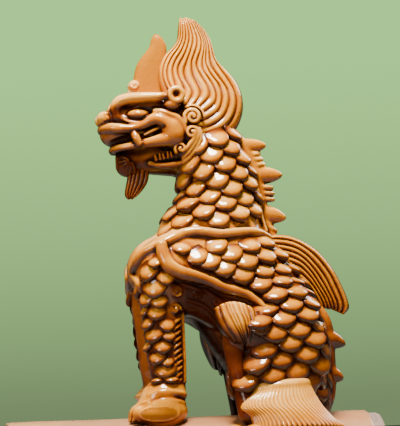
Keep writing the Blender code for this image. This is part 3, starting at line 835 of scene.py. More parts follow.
def clear_of(points, path, gap):
    """Whether points keep a gap in the (x, z) plane from a path of (x, z, radius)."""
    line = flowing(path, 6)
    away = np.hypot(points[:, None, 0] - line[None, :, 0], points[:, None, 2] - line[None, :, 1])
    return (away > line[None, :, 2] + gap).all(1)


def scale_points(clay, width, row):
    """The scales of the neck, above the band, and of the trunk under it; width and row are their growth."""
    parts = []
    for guide, rows, above in ((NECK_ROWS, 7, True), (BODY_ROWS, 13, False)):
        found = lattice(clay, np.array(guide) * (1, 1, 1, width), round(rows / row) + 1)
        x, _, z = found[0].T
        kept = ((z > np.interp(x, *np.array(BAND_TOP)[:, :2].T)) & (x > -75)) == above
        parts.append([part[kept] for part in found])
    points, out, down, size = (np.concatenate(part) for part in zip(*parts))
    x, y, z = points.T
    kept = outline_distance(np.array(PLAIN, float), x, z) > 0
    kept |= (x < -30) & (z > 262) & clear_of(points, BAND_TOP, 3)
    kept &= clear_of(points, BAND_TOP, 2.5) & clear_of(points, BAND_LOW, 2.5)
    # None over the fetlock, under the jaw or on the front of the foreleg, and few on the rump
    kept &= ~((z < np.where(x > 60, 132, 128)) & (y > 56) & (x < 107))
    kept &= (z > 106) & (z < 402 + 0.325 * x) & ((x > -62) | (z > 292) | (z < 262))
    line = np.array(BACK_LINE, float)
    rump = (z < line[-1, 0]) & (x > np.interp(z, line[:, 0], line[:, 1]) - 5)
    kept &= ~rump | ((z < 205) & (y > 13))
    # Smaller towards the back, standing clear of the clay on the neck and sunk in it on the chest and rump
    size *= (1 - 0.14 * fade(x, 80, 110) * fade(z, 200, 230))[:, None]
    chest = fade(x, -8, -30) * (z < 350)
    size[:, 2] *= (1 - 0.5 * chest) * (1 - 0.5 * rump)
    points = points + (1.1 * fade(z, 280, 310) - 2.2 * chest - rump)[:, None] * out
    return [part[kept] for part in (points, out, down, size)]


def leg_scale_points(clay):
    """The scales of a foreleg."""
    x, z, wide, high = np.array(LEG_SCALES).T
    points = np.stack([x, [clay.side(*place) for place in zip(x, z)], z], 1)
    points = points + np.random.default_rng(9).normal(0, 0.3, points.shape)
    size = np.stack([1.2 * wide / SCALE_WIDTH, 1.25 * high / LEG_SCALE_LENGTH, np.full(len(x), 0.8)], 1)
    return laid(clay, points, np.zeros(len(x)), 4.0, size)


def pad(root, corner, tip, closed, bend, shine=1.0, across=7):
    """One plump scale, 30 mm wide: points, faces, pooling with painted shade, and crests with painted
    highlight.

    Its tip points along +Y, its face along +Z, and its rim goes below the clay. Its sides run from the root
    to the corners and meet at the tip; closed is how far they also meet at the root, up to 1. Bend is how
    much it curves over a round leg and shine how pale its swelling is, thin glaze with a painted highlight.
    """
    share, top = np.array(SCALE_SHARES)[:, None], np.array(SCALE_HEIGHTS)[:, None]
    u = np.linspace(-1, 1, across)[None]
    y = root + (tip - root) * share
    past = np.maximum((y - corner) / (tip - corner), 0)
    short = np.maximum((corner - y) / (corner - root), 0)
    x = 15 * np.maximum(1 - past**1.5, 0) ** 0.8 * (1 - closed * short**2.2) ** 0.5 * np.sin(u * np.pi / 2)
    x[-1] = 3 * u
    points = np.stack([x, y + 0 * x, top * (1 - 0.5 * np.abs(u) ** 2.8) - bend * x * x], -1).reshape(-1, 3)
    # The glaze runs off the swelling of the scale and pools round it; the pale upper swelling is also a
    # painted highlight, and the darkening round its edges and rim a painted shade
    pool = 1.1 * (np.hypot(u, (share - 0.56) / 0.42) - 0.5)
    crest = shine * np.maximum(1 - 1.7 * np.hypot(u, (share - 0.44) / 0.42), 0)
    number = np.arange(x.size).reshape(x.shape)
    faces = np.stack([number[:-1, :-1], number[:-1, 1:], number[1:, 1:], number[1:, :-1]], -1).reshape(-1, 4)
    rim = np.concatenate([number[0], number[1:, -1], number[-1, -2::-1], number[-2:0:-1, 0]])
    foot = len(points) + np.arange(len(rim))
    walls = np.stack([np.roll(rim, -1), rim, foot, np.roll(foot, -1)], 1)
    faces = [*faces.tolist(), *walls.tolist(), foot[::-1].tolist()]
    points = np.concatenate([points, points[rim] * (0.95, 0.96, 0) - (0, 0, 3.5)])
    pool = np.append(np.clip(pool, 0, 1), np.ones(len(rim)))
    return points, faces, pool, np.append(crest, np.zeros(len(rim)))


def feed(tree, socket, value):
    """Links a socket to an output, or sets its value."""
    value = value.socket if isinstance(value, Value) else value
    if isinstance(value, bpy.types.NodeSocket):
        tree.links.new(value, socket)
    else:
        socket.default_value = (*value, 1) if socket.type == "RGBA" else value


def new_node(tree, kind, settings=(), values=()):
    """The outputs of a new node, after its settings and then the values or links of its sockets."""
    made = tree.nodes.new(kind)
    for key, value in dict(settings).items():
        if key == "stops":
            elements = made.color_ramp.elements
            while len(elements) < len(value):
                elements.new(0.5)
            for element, (place, shade) in zip(elements, value):
                element.position, element.color = place, (*shade, 1)
        else:
            setattr(made, key, value)
    for key, value in dict(values).items():
        feed(tree, made.inputs[key], value)
    return made.outputs


def set_out(name, places, template, growth):
    """Copies of a template at places (points, directions out, directions down, sizes), on both sides.

    growth is how much wider, longer and higher the copies are than the template.
    """
    points, out, down, size = (np.concatenate([part, part]) for part in places)
    for part in (points, out, down):
        part[len(part) // 2:, 1] *= -1
    x, y, z = points.T
    # The far foreleg's front is flatter, and the far shin is bare further back
    size[(y > 0) & (x < -48) & (z < 236), 2] *= 0.4
    kept = (y < 0) | (x < 0) | (x > 78) | (z > 182)
    mesh = bpy.data.meshes.new(name)
    mesh.from_pydata(points[kept] * MM, [], [])
    for title, values in (("out", out), ("down", down), ("size", size)):
        mesh.attributes.new(title, "FLOAT_VECTOR", "POINT").data.foreach_set("vector", values[kept].ravel())
    tint = np.random.default_rng(12).normal(0.03, 0.1, kept.sum())
    mesh.attributes.new("tint", "FLOAT", "POINT").data.foreach_set("value", tint)
    carrier = placed(name + "_places", mesh)

    tree = bpy.data.node_groups.new(name, "GeometryNodeTree")
    for way in ("INPUT", "OUTPUT"):
        tree.interface.new_socket("Geometry", in_out=way, socket_type="NodeSocketGeometry")
    inputs = ("Template Object", "Width Float", "Length Float", "Height Float", "Finish Material")
    sockets = [
        tree.interface.new_socket(title, in_out="INPUT", socket_type="NodeSocket" + kind)
        for title, kind in map(str.split, inputs)
    ]
    given = tree.nodes.new("NodeGroupInput").outputs

    def vector(title):
        settings = {"data_type": "FLOAT_VECTOR"}
        return new_node(tree, "GeometryNodeInputNamedAttribute", settings, {"Name": title})["Attribute"]

    def geometry(kind, **links):
        return new_node(tree, kind, {}, links)["Geometry"]

    turn = new_node(
        tree,
        "FunctionNodeAxesToRotation",
        {"primary_axis": "Z", "secondary_axis": "Y"},
        {"Primary Axis": vector("out"), "Secondary Axis": vector("down")},
    )["Rotation"]
    whole = {"X": given["Width"], "Y": given["Length"], "Z": given["Height"]}
    whole = new_node(tree, "ShaderNodeCombineXYZ", {}, whole)["Vector"]
    grown = {0: whole, 1: vector("size")}
    grown = new_node(tree, "ShaderNodeVectorMath", {"operation": "MULTIPLY"}, grown)["Vector"]
    shape = geometry("GeometryNodeObjectInfo", Object=given["Template"])
    copies = {"Points": given["Geometry"], "Instance": shape, "Rotation": turn, "Scale": grown}
    copies = new_node(tree, "GeometryNodeInstanceOnPoints", {}, copies)["Instances"]
    real = geometry("GeometryNodeRealizeInstances", Geometry=copies)
    for title in ("out", "down", "size"):
        real = geometry("GeometryNodeRemoveAttribute", Geometry=real, Name=title)
    real = geometry("GeometryNodeSetMaterial", Geometry=real, Material=given["Finish"])
    tree.links.new(real, tree.nodes.new("NodeGroupOutput").inputs["Geometry"])

    modifier = carrier.modifiers.new(name, "NODES")
    modifier.node_group = tree
    for socket, value in zip(sockets, (template, *growth, glaze())):
        modifier[socket.identifier] = value
    graph = bpy.context.evaluated_depsgraph_get()
    made = bpy.data.meshes.new_from_object(carrier.evaluated_get(graph), depsgraph=graph)
    made.name = name
    made.shade_smooth()
    for spare in (carrier, template):
        bpy.data.objects.remove(spare)
    return placed(name, made)


# Mane, horn, beard, fin, knee tufts and fetlocks

MANE = (
    ((-27, 455), (-30, 466), (-31.6, 477), (-30.5, 489), (-24.5, 502), (-14, 512), (-8, 520.5),
     (-6.2, 532), (-4, 546)),
    ((-15, 458), (-19, 468), (-20.5, 477), (-19.5, 487), (-14, 498.5), (-6.5, 509), (-1.5, 520),
     (-0.5, 532), (-0.5, 546.5)),
    ((-6, 443), (0, 452), (2, 461), (-4, 474), (-5, 484), (0, 496), (5, 508), (8, 520), (6.5, 533),
     (3, 546.5)),
    ((2, 434), (14, 442), (24, 452), (24, 463), (17, 477), (12.5, 488), (14.5, 498), (18, 508),
     (18.5, 519), (14, 533), (8, 545)),
    ((2, 420), (17, 422), (33.5, 431.5), (41.5, 448), (40.5, 463), (32, 477), (25.5, 489), (24.5, 499),
     (25, 509), (23.5, 520), (18.5, 532), (11, 543.5)),
    ((0, 401), (18, 401), (38, 407), (53, 418.5), (61.5, 437), (62, 456), (56, 472.5), (45.5, 485.5),
     (36, 495), (32.5, 508), (29, 521.5), (21.5, 533.5), (13, 542.5)),
)
HORN = (
    ((-61, 456), (-61, 466), (-58.5, 476), (-56.5, 485), (-54, 493), (-49, 501), (-42.5, 508.5),
     (-38, 515), (-36.5, 521.5), (-33, 527.5)),
    ((-40, 456), (-41, 468), (-39.5, 480), (-36, 492), (-31.5, 502), (-28, 511), (-27, 519),
     (-30.5, 527.5)),
    ((-24, 456), (-26, 468), (-26, 478), (-24, 488), (-21.5, 498), (-20, 507), (-20, 515), (-23.5, 522.5),
     (-28.5, 527.5)),
)
BEARD = (
    ((-69.5, 380), (-69.5, 371), (-71, 363), (-73, 354), (-73, 348), (-69, 343.5)),
    ((-59, 383), (-58.5, 373), (-60.5, 363), (-64, 354), (-67, 347), (-67.5, 343)),
    ((-47, 385), (-45.5, 376), (-46.5, 366), (-50.5, 358), (-58, 349.5), (-65.5, 344)),
)
FIN = (
    ((74, 299), (88, 301), (103, 300), (114, 296.5), (124.5, 291), (136, 283), (143.5, 275), (150, 266.5),
     (156, 257), (162, 244), (166, 234), (169, 224), (169.4, 217), (164, 208.5)),
    ((84, 290), (98, 288.5), (111, 285), (122.5, 278), (134, 266), (144, 251.5), (151.5, 235),
     (156.5, 222), (157, 211.5)),
    ((92, 278), (107, 274.5), (118.5, 268.5), (129, 257), (138, 242.5), (145.5, 229), (150, 215)),
    ((100, 261), (113.5, 258), (123.5, 250), (131, 240.5), (137.5, 229), (142.5, 217)),
    ((106, 242), (117, 239), (125, 233.5), (130, 226.5), (133.5, 219)),
)
TUFT = (
    ((10, 214), (11, 204), (14, 195), (21, 184), (30, 173), (38, 165)),
    ((18, 218), (21, 206), (26, 194), (33, 183), (38, 173), (41, 164)),
    ((27, 220), (30, 209), (34, 198), (38, 187), (42, 175), (44, 163)),
    ((37, 219), (39, 208), (42, 199), (44, 188), (46, 175), (46, 163)),
    ((47, 215), (49, 206), (50, 196), (49, 185), (48, 174), (48, 164)),
    ((57, 207), (56, 200), (54, 190), (52, 181), (50, 172), (50, 165)),
)
# The fetlock hair from the top down: its middle, and its two radii with how deep its flutes are
FETLOCK_PATH = ((79, 66, 134), (79, 66, 132.5), (79, 66.5, 128.5), (78.5, 67, 123), (76, 69, 114),
                (77.5, 71.5, 105), (85, 74.5, 96), (91.5, 77, 87), (94, 78, 81), (94.5, 78, 79.5))
FETLOCK_SPANS = ((22, 10, 0), (30, 15, 0), (32.5, 17.6, 0.1), (34, 18.2, 0.35), (40.5, 20.5, 0.6),
                 (44, 22.8, 0.75), (43.5, 24.5, 0.9), (47, 26.3, 1), (48.5, 26.8, 1), (43, 22.5, 1))


def fetlock(grain=448, flutes=56):
    """The hair over the hind paw: a rimmed, fluted bell, half to one side, with curled tips."""
    turn = 2 * np.pi * np.arange(grain) / grain
    wave = np.abs(np.sin(flutes / 2 * turn)) ** 0.8
    x, y, z = flowing(FETLOCK_PATH).T[..., None]
    long_, wide, depth = flowing(FETLOCK_SPANS).T[..., None]
    out = 2.4 * fade(z, 88, 81) * wave - 1.2 * depth * (1 - wave)
    tilt = 0.07 * fade(z, 92, 122) * long_ * np.cos(turn)
    curl = 1.6 * fade(z, 100, 80) * (0.5 - wave)
    sections = [x + (long_ + out) * np.cos(turn), y + (wide + out) * np.sin(turn), z + tilt + curl]
    points, faces = loft(np.stack(sections, -1))
    # Pooled glaze and painted shade in the flutes' grooves; the bell is painted pale, thin glaze with a
    # painted highlight from above, less so towards its foot
    pool = 0.28 * (1 - wave) * depth
    crest = 1.35 - 0.8 * fade(z, 108, 82) + 0.35 * wave**3 * depth
    return points, outward(points, faces), np.append(pool, (0, 0)), np.append(crest, (0, 0))


def half_pipe(radius, wall, start, end, rows, wave, edge=2.2):
    """Half a pipe along X, its flat edges down and its ends rounded, as slowly uneven as a thrown surface."""
    turn = np.linspace(0, np.pi, TILE_AROUND)
    rounding = np.array((1, 0.35, 0))
    inset = edge * np.array([*rounding, *np.zeros(rows), *rounding[::-1]])[:, None]
    x = np.array([
        start, start + 0.25 * edge, start + edge,
        *np.linspace(start + 3 * edge, end - 3 * edge, rows),
        end - edge, end - 0.25 * edge, end,
    ])[:, None]
    uneven = wave * (np.sin(0.021 * x + 3 * turn) + 0.6 * np.sin(0.055 * x - 5 * turn + 1))
    outer = radius - TILE_WAVE - inset + np.minimum(uneven, TILE_WAVE)
    inner = radius - wall + 0.4 * inset + 0 * turn
    out = np.concatenate([outer, inner], 1)
    turn = np.concatenate([turn, turn[::-1]])
    points, faces = loft(np.stack([x + 0 * out, out * np.cos(turn), out * np.sin(turn)], -1), fans=False)
    # Strips between the walls close the ends
    ring = np.arange(2 * TILE_AROUND)
    back = ring[::-1]
    strip = np.stack([ring[:-1], ring[1:], back[1:], back[:-1]], 1)[:TILE_AROUND - 1]
    faces += strip[:, ::-1].tolist() + (strip + len(points) - len(ring)).tolist()
    return points, outward(points, faces), 0.0, 0.0


# Finishes


class Value:
    """A number that varies over a surface; sums, products and powers of it add their Math nodes."""

    def __init__(self, finish, socket):
        self.finish, self.socket = finish, socket

    def math(self, operation, other=0.0, clamp=False):
        settings = {"operation": operation, "use_clamp": clamp}
        return Value(self.finish, self.finish.node("ShaderNodeMath", settings, {0: self, 1: other})["Value"])

    def clamped(self):
        return self.math("ADD", clamp=True)

    __add__ = __radd__ = lambda self, other: self.math("ADD", other)
    __sub__ = lambda self, other: self.math("SUBTRACT", other)
    __rsub__ = lambda self, other: self * -1 + other
    __mul__ = __rmul__ = lambda self, other: self.math("MULTIPLY", other)
    __pow__ = lambda self, other: self.math("POWER", other)


class Finish:
    """A material under construction."""

    def __init__(self, name):
        self.material = bpy.data.materials.new(name)
        self.material.use_nodes = True
        self.tree = self.material.node_tree
        self.place = self.node("ShaderNodeTexCoord")["Object"]

    def node(self, kind, settings=(), values=()):
        return new_node(self.tree, kind, settings, values)

    def attribute(self, name):
        return Value(self, self.node("ShaderNodeAttribute", {"attribute_name": name})["Fac"])

    def noise(self, scale, detail=2.0, stretch=None):
        place = self.place
        if stretch:
            place = self.node("ShaderNodeMapping", values={"Vector": place, "Scale": stretch})["Vector"]
        values = {"Vector": place, "Scale": scale, "Detail": detail}
        return Value(self, self.node("ShaderNodeTexNoise", values=values)["Fac"])

    def upright(self, vector):
        """How far a vector goes up."""
        return Value(self, self.node("ShaderNodeSeparateXYZ", values={"Vector": vector})["Z"])

    def facing_up(self):
        """1 on what faces straight up, -1 on what faces down."""
        return self.upright(self.node("ShaderNodeNewGeometry")["Normal"])

    def below(self, height, depth):
        """0 above a height, growing to 1 at a depth under it, in metres."""
        return ((height - self.upright(self.place)) * (1 / depth)).clamped()

    def specks(self, scale):
        """Distance to the nearest of scattered points, which grows from 0."""
        values = {"Vector": self.place, "Scale": scale}
        return Value(self, self.node("ShaderNodeTexVoronoi", values=values)["Distance"])

    def ramp(self, value, *stops):
        return self.node("ShaderNodeValToRGB", {"stops": stops}, {"Fac": value})["Color"]

    def mix(self, share, a, b):
        settings = {"data_type": "RGBA", "clamp_factor": True}
        return self.node("ShaderNodeMix", settings, {0: share, 6: a, 7: b})[2]

    def bump(self, height, distance, strength):
        values = {"Height": height, "Distance": distance, "Strength": strength}
        return self.node("ShaderNodeBump", values=values)["Normal"]

    def surface(self, **values):
        shader = self.tree.nodes["Principled BSDF"]
        for key, value in values.items():
            feed(self.tree, shader.inputs[key.replace("_", " ").title().replace("Ior", "IOR")], value)
        return self.material


def amber_glaze(colours):
    """Poured amber glaze: near black where it pools in the carving and where shade is painted, pale where it
    runs off the crests and where a highlight is painted.
    """
    finish = Finish("amber glaze")
    broad, close = finish.noise(14, 2), finish.noise(75, 3)
    runs = finish.noise(1, 2, stretch=(60, 60, 14))
    pool, crest, tint = (finish.attribute(name) for name in ("pool", "crest", "tint"))
    # Darker towards the bottom; the pooling and painted shade darken it, the crests and painted highlight
    # pale it, what faces up is painted paler as light from above and what faces down darker
    thick = 0.02 + 0.05 * finish.below(0.31, 0.03) + 0.18 * finish.below(0.27, 0.08)
    thick = thick + 0.38 * broad + 0.20 * close + 0.14 * runs
    thick = thick + 0.7 * pool - 0.24 * crest - 0.22 * finish.facing_up()
    colour = finish.ramp(
        thick.clamped(),
        (0.05, colours.bare), (0.24, colours.honey), (0.47, colours.amber), (0.72, colours.deep),
        (0.95, colours.pooled_and_shaded),
    )
    # A tint above 0 is the smooth orange glaze of the horn and pad, and below 0 a dark russet: painted shade
    # on the flank, the shins, between the legs and under the chin, and a darker beard and fin
    smooth = finish.mix((pool * 0.9).clamped(), colours.orange, colours.deep)
    colour = finish.mix(tint.clamped(), colour, smooth)
    colour = finish.mix((tint * -1.0).clamped(), colour, finish.mix(pool, colours.russet, colours.pooled_and_shaded))
    pits = (1 - finish.specks(260) * 3.2).clamped() ** 3
    height = finish.noise(110, 3) + finish.noise(330, 2) * 0.35 + broad * 0.9 - pits * 0.25
    return finish.surface(
        base_color=colour,
        roughness=0.22 + 0.14 * close,
        normal=finish.bump(height, 0.0009, 0.7),
        coat_weight=(1 + 0.75 * tint).clamped() * (1 - (tint * 0.95).clamped()) * (1 - 0.8 * pool),
        specular_ior_level=0.06,
        coat_roughness=0.05,
        coat_ior=1.5,
        ior=1.5,
    )


def tile_glaze(colours):
    """The thin glaze of the tile, streaked along it."""
    finish = Finish("tile glaze")
    broad, close = finish.noise(9, 3), finish.noise(60, 4)
    tone = 0.5 * broad + 0.35 * finish.noise(1, 3, stretch=(7, 55, 55)) + 0.15 * close
    streaked = finish.ramp(
        tone.clamped(),
        (0.30, colours.deep), (0.42, colours.amber), (0.52, colours.tile), (0.66, colours.bare),
    )
    return finish.surface(
        base_color=finish.mix(0.62, streaked, colours.tile),
        roughness=0.34 + 0.22 * close,
        normal=finish.bump(close * 0.5 + broad + finish.noise(150, 2) * 0.3, 0.0009, 0.5),
        coat_weight=0.55,
        coat_roughness=0.14,
    )


def biscuit(colours):
    """Bare fired clay, with its grit and the bloom of the kiln."""
    finish = Finish("bare clay")
    broad, close = finish.noise(22, 4), finish.noise(240, 5)
    dark, pale = (tuple(min(share * part, 1) for part in colours.biscuit) for share in (0.55, 1.35))
    tone = (0.7 * broad + 0.3 * close).clamped()
    return finish.surface(
        base_color=finish.ramp(tone, (0.35, dark), (0.5, colours.biscuit), (0.68, pale)),
        roughness=0.68 + 0.2 * close,
        normal=finish.bump(close + broad, 0.0008, 0.7),
    )


# Operators


@cache
def glaze():
    return amber_glaze(bpy.context.scene.ridge_beast_colours)


@cache
def clays():
    return body_clay(bpy.context.scene.ridge_beast_sizes.body_grain / MM)


@cache
def scale_places():
    """Where the scales of the trunk and of the forelegs go."""
    sizes = bpy.context.scene.ridge_beast_sizes
    bare = clays()[1]
    width, row = sizes.scale_width / MM / SCALE_WIDTH, sizes.scale_row / MM / SCALE_ROW
    return scale_points(bare, width, row), leg_scale_points(bare)


def nearness(points, places, reach):
    """1 near one of the places, falling to 0 at a reach from them; on either side of the ridge."""
    halves = np.where((False, True, False), np.abs(points), points)
    parts = np.array_split(halves, 60)
    away = np.concatenate([np.linalg.norm(part[:, None] - places, axis=2).min(1) for part in parts])
    return fade(away, reach, reach / 2)


def both(name, body, further):
    """A piece from a body on the far side, moved by further, and its mirror image, left in place."""
    points, faces, pool, crest = body
    back = [tuple(len(points) + n for n in face[::-1]) for face in faces]
    points = np.concatenate([points + further, points * (1, -1, 1)])
    return piece_of(name, (points, faces + back, np.tile(pool, 2), np.tile(crest, 2)))


def finished(slot, *pieces):
    """Each piece rides on the root and stands for the CAD node."""
    for piece in pieces:
        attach(piece, "root")
        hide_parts(BEAST_NODE)
    return {"FINISHED"}


class BEAST_OT_head(bpy.types.Operator):
    """Model the head with its face, ear scrolls and jaw"""

    bl_idname = "ridge_beast.head"
    bl_label = "Head"

    def execute(self, context):
        clay = head_clay(context.scene.ridge_beast_sizes.head_grain / MM)
        points, faces, pool, crest = clay.skin(0.2)
        x, _, z = points.T
        # Painted shade below the mouth, over the front of the jaw
        jaw = fade(z, 404, 394) * (x < -12) * np.maximum(fade(x, -44, -56), fade(z, 393, 387))
        pool = np.clip(pool + 0.3 * jaw, 0, 1)
        # The brow and the nose stand out, with less pooling and a painted highlight from above
        nose = fade(np.hypot(x + 102, z - 436), 14, 7)
        brow_highlight = np.clip(fade(z, 443, 448) * fade(x, -26, -38) + nose, 0, 1)
        pool = pool * (1 - 0.75 * brow_highlight)
        crest = np.maximum(crest, 1.2 * brow_highlight * (1 - pool))
        # Painted shade under the chin, given as a dark tint
        chin = fade(z, 392, 378) * fade(x, -40, -54)
        return finished("amber_glaze", piece_of("head", (points, faces, pool, crest), -0.55 * chin))


class BEAST_OT_body(bpy.types.Operator):
    """Model the neck, trunk, legs, bands and spines"""

    bl_idname = "ridge_beast.body"
    bl_label = "Body"

    def execute(self, context):
        clay, bare = clays()
        points, faces, pool, crest = clay.skin(0.3)
        x, y, z = points.T
        out = np.abs(y)
        raised = bare.at(points)
        # Glaze pools between the scales, with painted shade there too, less on the neck and the forelegs
        places = np.concatenate([part[0] for part in scale_places()])
        depth = 0.1 + 0.65 * fade(z, 300, 260) - 0.45 * (x < -20) * (z < 275)
        pool = pool * (1 - 0.6 * fade(z, 290, 320) * (x > -25))
        pool = np.maximum(pool, depth * nearness(points, places, SCALE_SHADE) * (raised < FLUSH))
        # Painted shade on the side of the far hind leg that the light never reaches, and in the hollow behind
        # the foreleg
        shaded = fade(y, 62, 52) * fade(y, -34, -26) * (x > -34) * (x < 76) * (z < 232)
        hollow = fade(x, 40, 10) * fade(z, 250, 236) * (x > -19) * (z > 190) * (out > 20)
        pool = np.max([pool, shaded, 0.8 * hollow * (raised < LOW_RELIEF)], 0)
        # Painted shade, given as a dark tint: on the hind shins, between the legs and on the flank under the
        # lower band
        shin = fade(z, 182, 166) * fade(z, 88, 96) * (x > -5) * (x < 66) * (out > 36)
        shade_between_legs = fade(out, 36, 28) * (x > -30) * (x < 60) * (z < 225)
        within = -outline_distance(np.array(FLANK, float), x, z)
        flank = fade(within, 0, 5) * (out > 20) * (raised < LOW_RELIEF)
        dark = np.max([shin, shade_between_legs, 1.1 * flank], 0)
        # The foreleg is painted paler; its paw and cuff and the hind paw are paler still, thin glaze with a
        # painted highlight from above; the paw's pad is orange
        paw = fade(z, 135.5, 133.5) * (x < -10) * (out > 12)
        orange = (np.hypot((x - PAD[0]) / 21, (z - PAD[1]) / 7) < 0.95) & (out > 50)
        crest = np.maximum(crest * (1 - paw), (0.1 + 1.4 * ~orange) * paw)
        crest = np.maximum(crest, 1.2 * fade(z, 90, 84) * (out > 52) * (x > 0) * (out < 110))
        crest = crest + 0.35 * (x < -20) * fade(z, 275, 267) * (z > 136) * (1 - pool)
        # The far shin stands a little further back, and the far forepaw is shorter
        shift = FAR_SHIN * fade(y, 20, 35) * fade(z, 176, 164) * fade(x, 72, 47) * fade(x, 2, 14)
        shift = shift + FAR_TOES * fade(y, 8, 23) * fade(z, 130, 118) * fade(x, -45, -70)
        points = points + shift[:, None] * (1, 0, 0)
        # The paw's pad takes the orange glaze, and the painted shade the dark tint
        tint = 0.9 * orange * paw - 0.8 * dark
        return finished("amber_glaze", piece_of("body", (points, faces, pool, crest), tint))


class BEAST_OT_scales(bpy.types.Operator):
    """Press the rows of scales on the neck and trunk, and the scales of the forelegs"""

    bl_idname = "ridge_beast.scales"
    bl_label = "Scales"

    def execute(self, context):
        sizes = context.scene.ridge_beast_sizes
        growth = zip(
            (sizes.scale_width, sizes.scale_row, sizes.scale_height), (SCALE_WIDTH, SCALE_ROW, SCALE_HEIGHT)
        )
        growth = [size / MM / drawn for size, drawn in growth]
        made = []
        for (name, shape), places in zip(SCALE_SHAPES.items(), scale_places()):
            template = piece_of(name + "_template", pad(**shape))
            template.data.attributes.remove(template.data.attributes["tint"])
            made.append(set_out(name, places, template, growth))
        return finished("amber_glaze", *made)


class BEAST_OT_crests(bpy.types.Operator):
    """Comb the mane, the horn, the beard and the fin of the back"""

    bl_idname = "ridge_beast.crests"
    bl_label = "Mane, horn, beard and fin"

    def execute(self, context):
        sizes = context.scene.ridge_beast_sizes
        mane = combed(
            MANE, sizes.mane_strands, lambda s, t: 8.5 + 23 * (1 - t) ** 1.7 * (0.8 + 0.2 * s),
            groove=2.8, stations=64, ragged=0.02, dark=0.6,
        )
        horn = combed(HORN, 0, lambda s, t: 10 - 5 * t, groove=0, stations=36, fine=14, edge=3)
        beard = combed(BEARD, 5, lambda s, t: 7.5 - 3 * t, groove=1.9, stations=26, ragged=0.06)
        fin = combed(
            FIN, sizes.fin_ribs, lambda s, t: 5.5 + 6.5 * (1 - t) ** 1.2,
            groove=4, stations=48, fine=9, ragged=0.02, dark=0.7,
        )
        bodies = (("mane", mane, 0.0), ("horn", horn, 1.0), ("beard", beard, -0.8), ("fin", fin, -0.1))
        return finished("amber_glaze", *[piece_of(*body) for body in bodies])


class BEAST_OT_tufts(bpy.types.Operator):
    """Comb the hair of the knees and of the fetlocks"""

    bl_idname = "ridge_beast.tufts"
    bl_label = "Knee and fetlock hair"

    def execute(self, context):
        points, faces, pool, crest = combed(
            TUFT, 9, lambda s, t: 22 * np.sin(np.pi * np.clip(0.16 + 0.66 * t, 0, 1)) ** 0.6,
            groove=2.4, stations=34, fine=8, ragged=0.16, dark=0.75, middle=62, lean=-3, seed=3, uneven=0.12,
        )
        # Painted shade darkens the hair towards its foot, and a painted highlight pales the middle of its top
        low = fade(points[:, 2], 196, 168)
        tuft_highlight = (1 - low) * fade(np.abs(points[:, 0] - 34), 19.2, 3.2)
        pool = np.clip(pool * (1 - 0.6 * tuft_highlight) + 0.8 * low, 0, 1)
        # The far knee's hair hangs lower and the far fetlock stands further back
        sag = fade(points[:, 2:], 205, 167) * FAR_KNEE_HAIR
        knee_tufts = both("knee_tufts", (points, faces, pool, 0.8 * crest + 1.3 * tuft_highlight), sag)
        return finished("amber_glaze", knee_tufts, both("fetlocks", fetlock(), FAR_FETLOCK))


class BEAST_OT_tile(bpy.types.Operator):
    """Throw the ridge tile, its bare neck and its tenon"""

    bl_idname = "ridge_beast.tile"
    bl_label = "Ridge tile"

    def execute(self, context):
        colours = context.scene.ridge_beast_colours
        wall = context.scene.ridge_beast_sizes.tile_wall / MM
        start = NECK_END - NECK_LENGTH
        tile = half_pipe(TILE_RADIUS, wall, TILE_FRONT, start, rows=120, wave=0.35)
        radius = TILE_RADIUS - NECK_STEP
        neck = half_pipe(radius, wall, start - NECK_INLET, NECK_END, rows=12, wave=0.3)
        radius, start = TILE_RADIUS - TENON_STEP, NECK_END - TENON_INLET
        tenon = half_pipe(radius, TENON_WALL, start, TENON_END, rows=12, wave=0.25)
        finished("amber_glaze", piece_of("tile", tile, material=tile_glaze(colours)))
        clay = biscuit(colours)
        bare = [piece_of(name, body, material=clay) for name, body in (("neck", neck), ("tenon", tenon))]
        return finished("bare_clay", *bare)


# The camera's place: its bearing, height above the horizon, lean, distance and aim
BEARING, RISE, LEAN = math.radians(-8), math.radians(-7.5), math.radians(-2.7)
DISTANCE, FOCAL = 4.5, 346.0
AIM = Vector((0.009, 0.0, 0.3274))
# Lamps: name, place, aim, size, power and colour
LAMPS = (
    ("overhead", (-0.10, -0.55, 1.65), (0, 0, 0.3), 0.5, 96, (1.0, 0.95, 0.82)),
    ("front", (-1.6, -1.5, 1.0), (0, 0, 0.3), 0.8, 20, (1.0, 0.97, 0.86)),
    ("back", (1.2, 0.9, 1.3), (0, 0, 0.35), 0.8, 14, (1.0, 0.95, 0.92)),
)


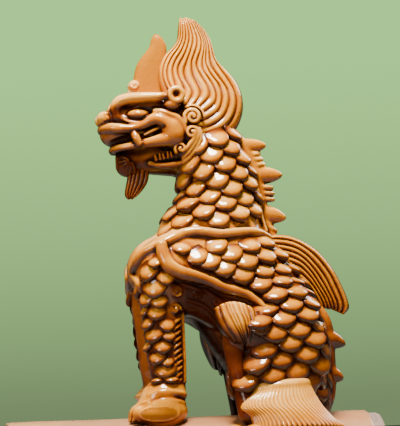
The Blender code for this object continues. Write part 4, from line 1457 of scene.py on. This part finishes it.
class BEAST_OT_stage(bpy.types.Operator):
    """Set the floor, the studio light and the camera"""

    bl_idname = "ridge_beast.stage"
    bl_label = "Stage"

    def execute(self, context):
        colours = context.scene.ridge_beast_colours
        bpy.ops.mesh.primitive_circle_add(vertices=96, radius=1.1, fill_type="NGON", location=(0, 0, 0))
        floor = context.object
        floor.name = "floor"
        floor.data.materials.append(Finish("floor").surface(base_color=tuple(colours.floor), roughness=0.7))

        # The camera sees the backdrop's shades, darker towards its foot as painted shade, and the beast is
        # lit by the surround
        world = context.scene.world or bpy.data.worlds.new("studio")
        context.scene.world = world
        world.use_nodes = True
        tree = world.node_tree
        way = new_node(tree, "ShaderNodeTexCoord")["Generated"]
        height = new_node(tree, "ShaderNodeSeparateXYZ", {}, {0: way})["Z"]
        stops = ((0.084, colours.backdrop_low), (0.125, colours.backdrop_middle), (0.165, colours.backdrop))
        shade = new_node(tree, "ShaderNodeValToRGB", {"stops": stops}, {"Fac": height})["Color"]
        seen = tree.nodes["Background"]
        feed(tree, seen.inputs["Color"], shade)
        lit = new_node(tree, "ShaderNodeBackground", {}, {"Color": colours.surround})
        ray = new_node(tree, "ShaderNodeLightPath")["Is Camera Ray"]
        choice = new_node(tree, "ShaderNodeMixShader", {}, {0: ray, 1: lit[0], 2: seen.outputs[0]})
        feed(tree, tree.nodes["World Output"].inputs["Surface"], choice[0])

        for name, place, aim, size, power, tone in LAMPS:
            lamp = bpy.data.lights.new(name, "AREA")
            lamp.shape, lamp.size, lamp.energy, lamp.color = "DISK", size, power, tone
            obj = placed(name, lamp)
            obj.location = place
            obj.rotation_euler = (Vector(aim) - Vector(place)).to_track_quat("-Z", "Y").to_euler()

        camera = placed("camera", bpy.data.cameras.new("camera"))
        camera.data.lens, camera.data.sensor_width = FOCAL, 36.0
        camera.data.sensor_fit = "AUTO"
        camera.data.clip_end = 50
        level = math.cos(RISE)
        back = Vector((math.sin(BEARING) * level, -math.cos(BEARING) * level, math.sin(RISE)))
        turn = back.to_track_quat("Z", "Y").to_matrix().to_4x4() @ Matrix.Rotation(LEAN, 4, "Z")
        camera.matrix_world = Matrix.Translation(AIM + DISTANCE * back) @ turn
        context.scene.camera = camera
        return {"FINISHED"}


OPERATORS = (
    BEAST_OT_head, BEAST_OT_body, BEAST_OT_scales, BEAST_OT_crests, BEAST_OT_tufts, BEAST_OT_tile,
    BEAST_OT_stage,
)


class BEAST_PT_panel(bpy.types.Panel):
    """Sizes, colours and steps of the ridge beast"""

    bl_idname = "BEAST_PT_panel"
    bl_label = "Ridge beast"
    bl_space_type = "VIEW_3D"
    bl_region_type = "UI"
    bl_category = "Ridge beast"

    def draw(self, context):
        scene = context.scene
        for group in (scene.ridge_beast_sizes, scene.ridge_beast_colours):
            box = self.layout.box()
            for name in group.__annotations__:
                box.prop(group, name)
        for operator in OPERATORS:
            self.layout.operator(operator.bl_idname)


CLASSES = (BeastSizes, GlazeColours, *OPERATORS, BEAST_PT_panel)


def register():
    for cls in CLASSES:
        bpy.utils.register_class(cls)
    bpy.types.Scene.ridge_beast_sizes = PointerProperty(type=BeastSizes)
    bpy.types.Scene.ridge_beast_colours = PointerProperty(type=GlazeColours)


def unregister():
    del bpy.types.Scene.ridge_beast_sizes
    del bpy.types.Scene.ridge_beast_colours
    for cls in reversed(CLASSES):
        bpy.utils.unregister_class(cls)


def main():
    register()
    for operator in OPERATORS:
        group, name = operator.bl_idname.split(".")
        getattr(getattr(bpy.ops, group), name)()


if __name__ == "__main__":
    main()
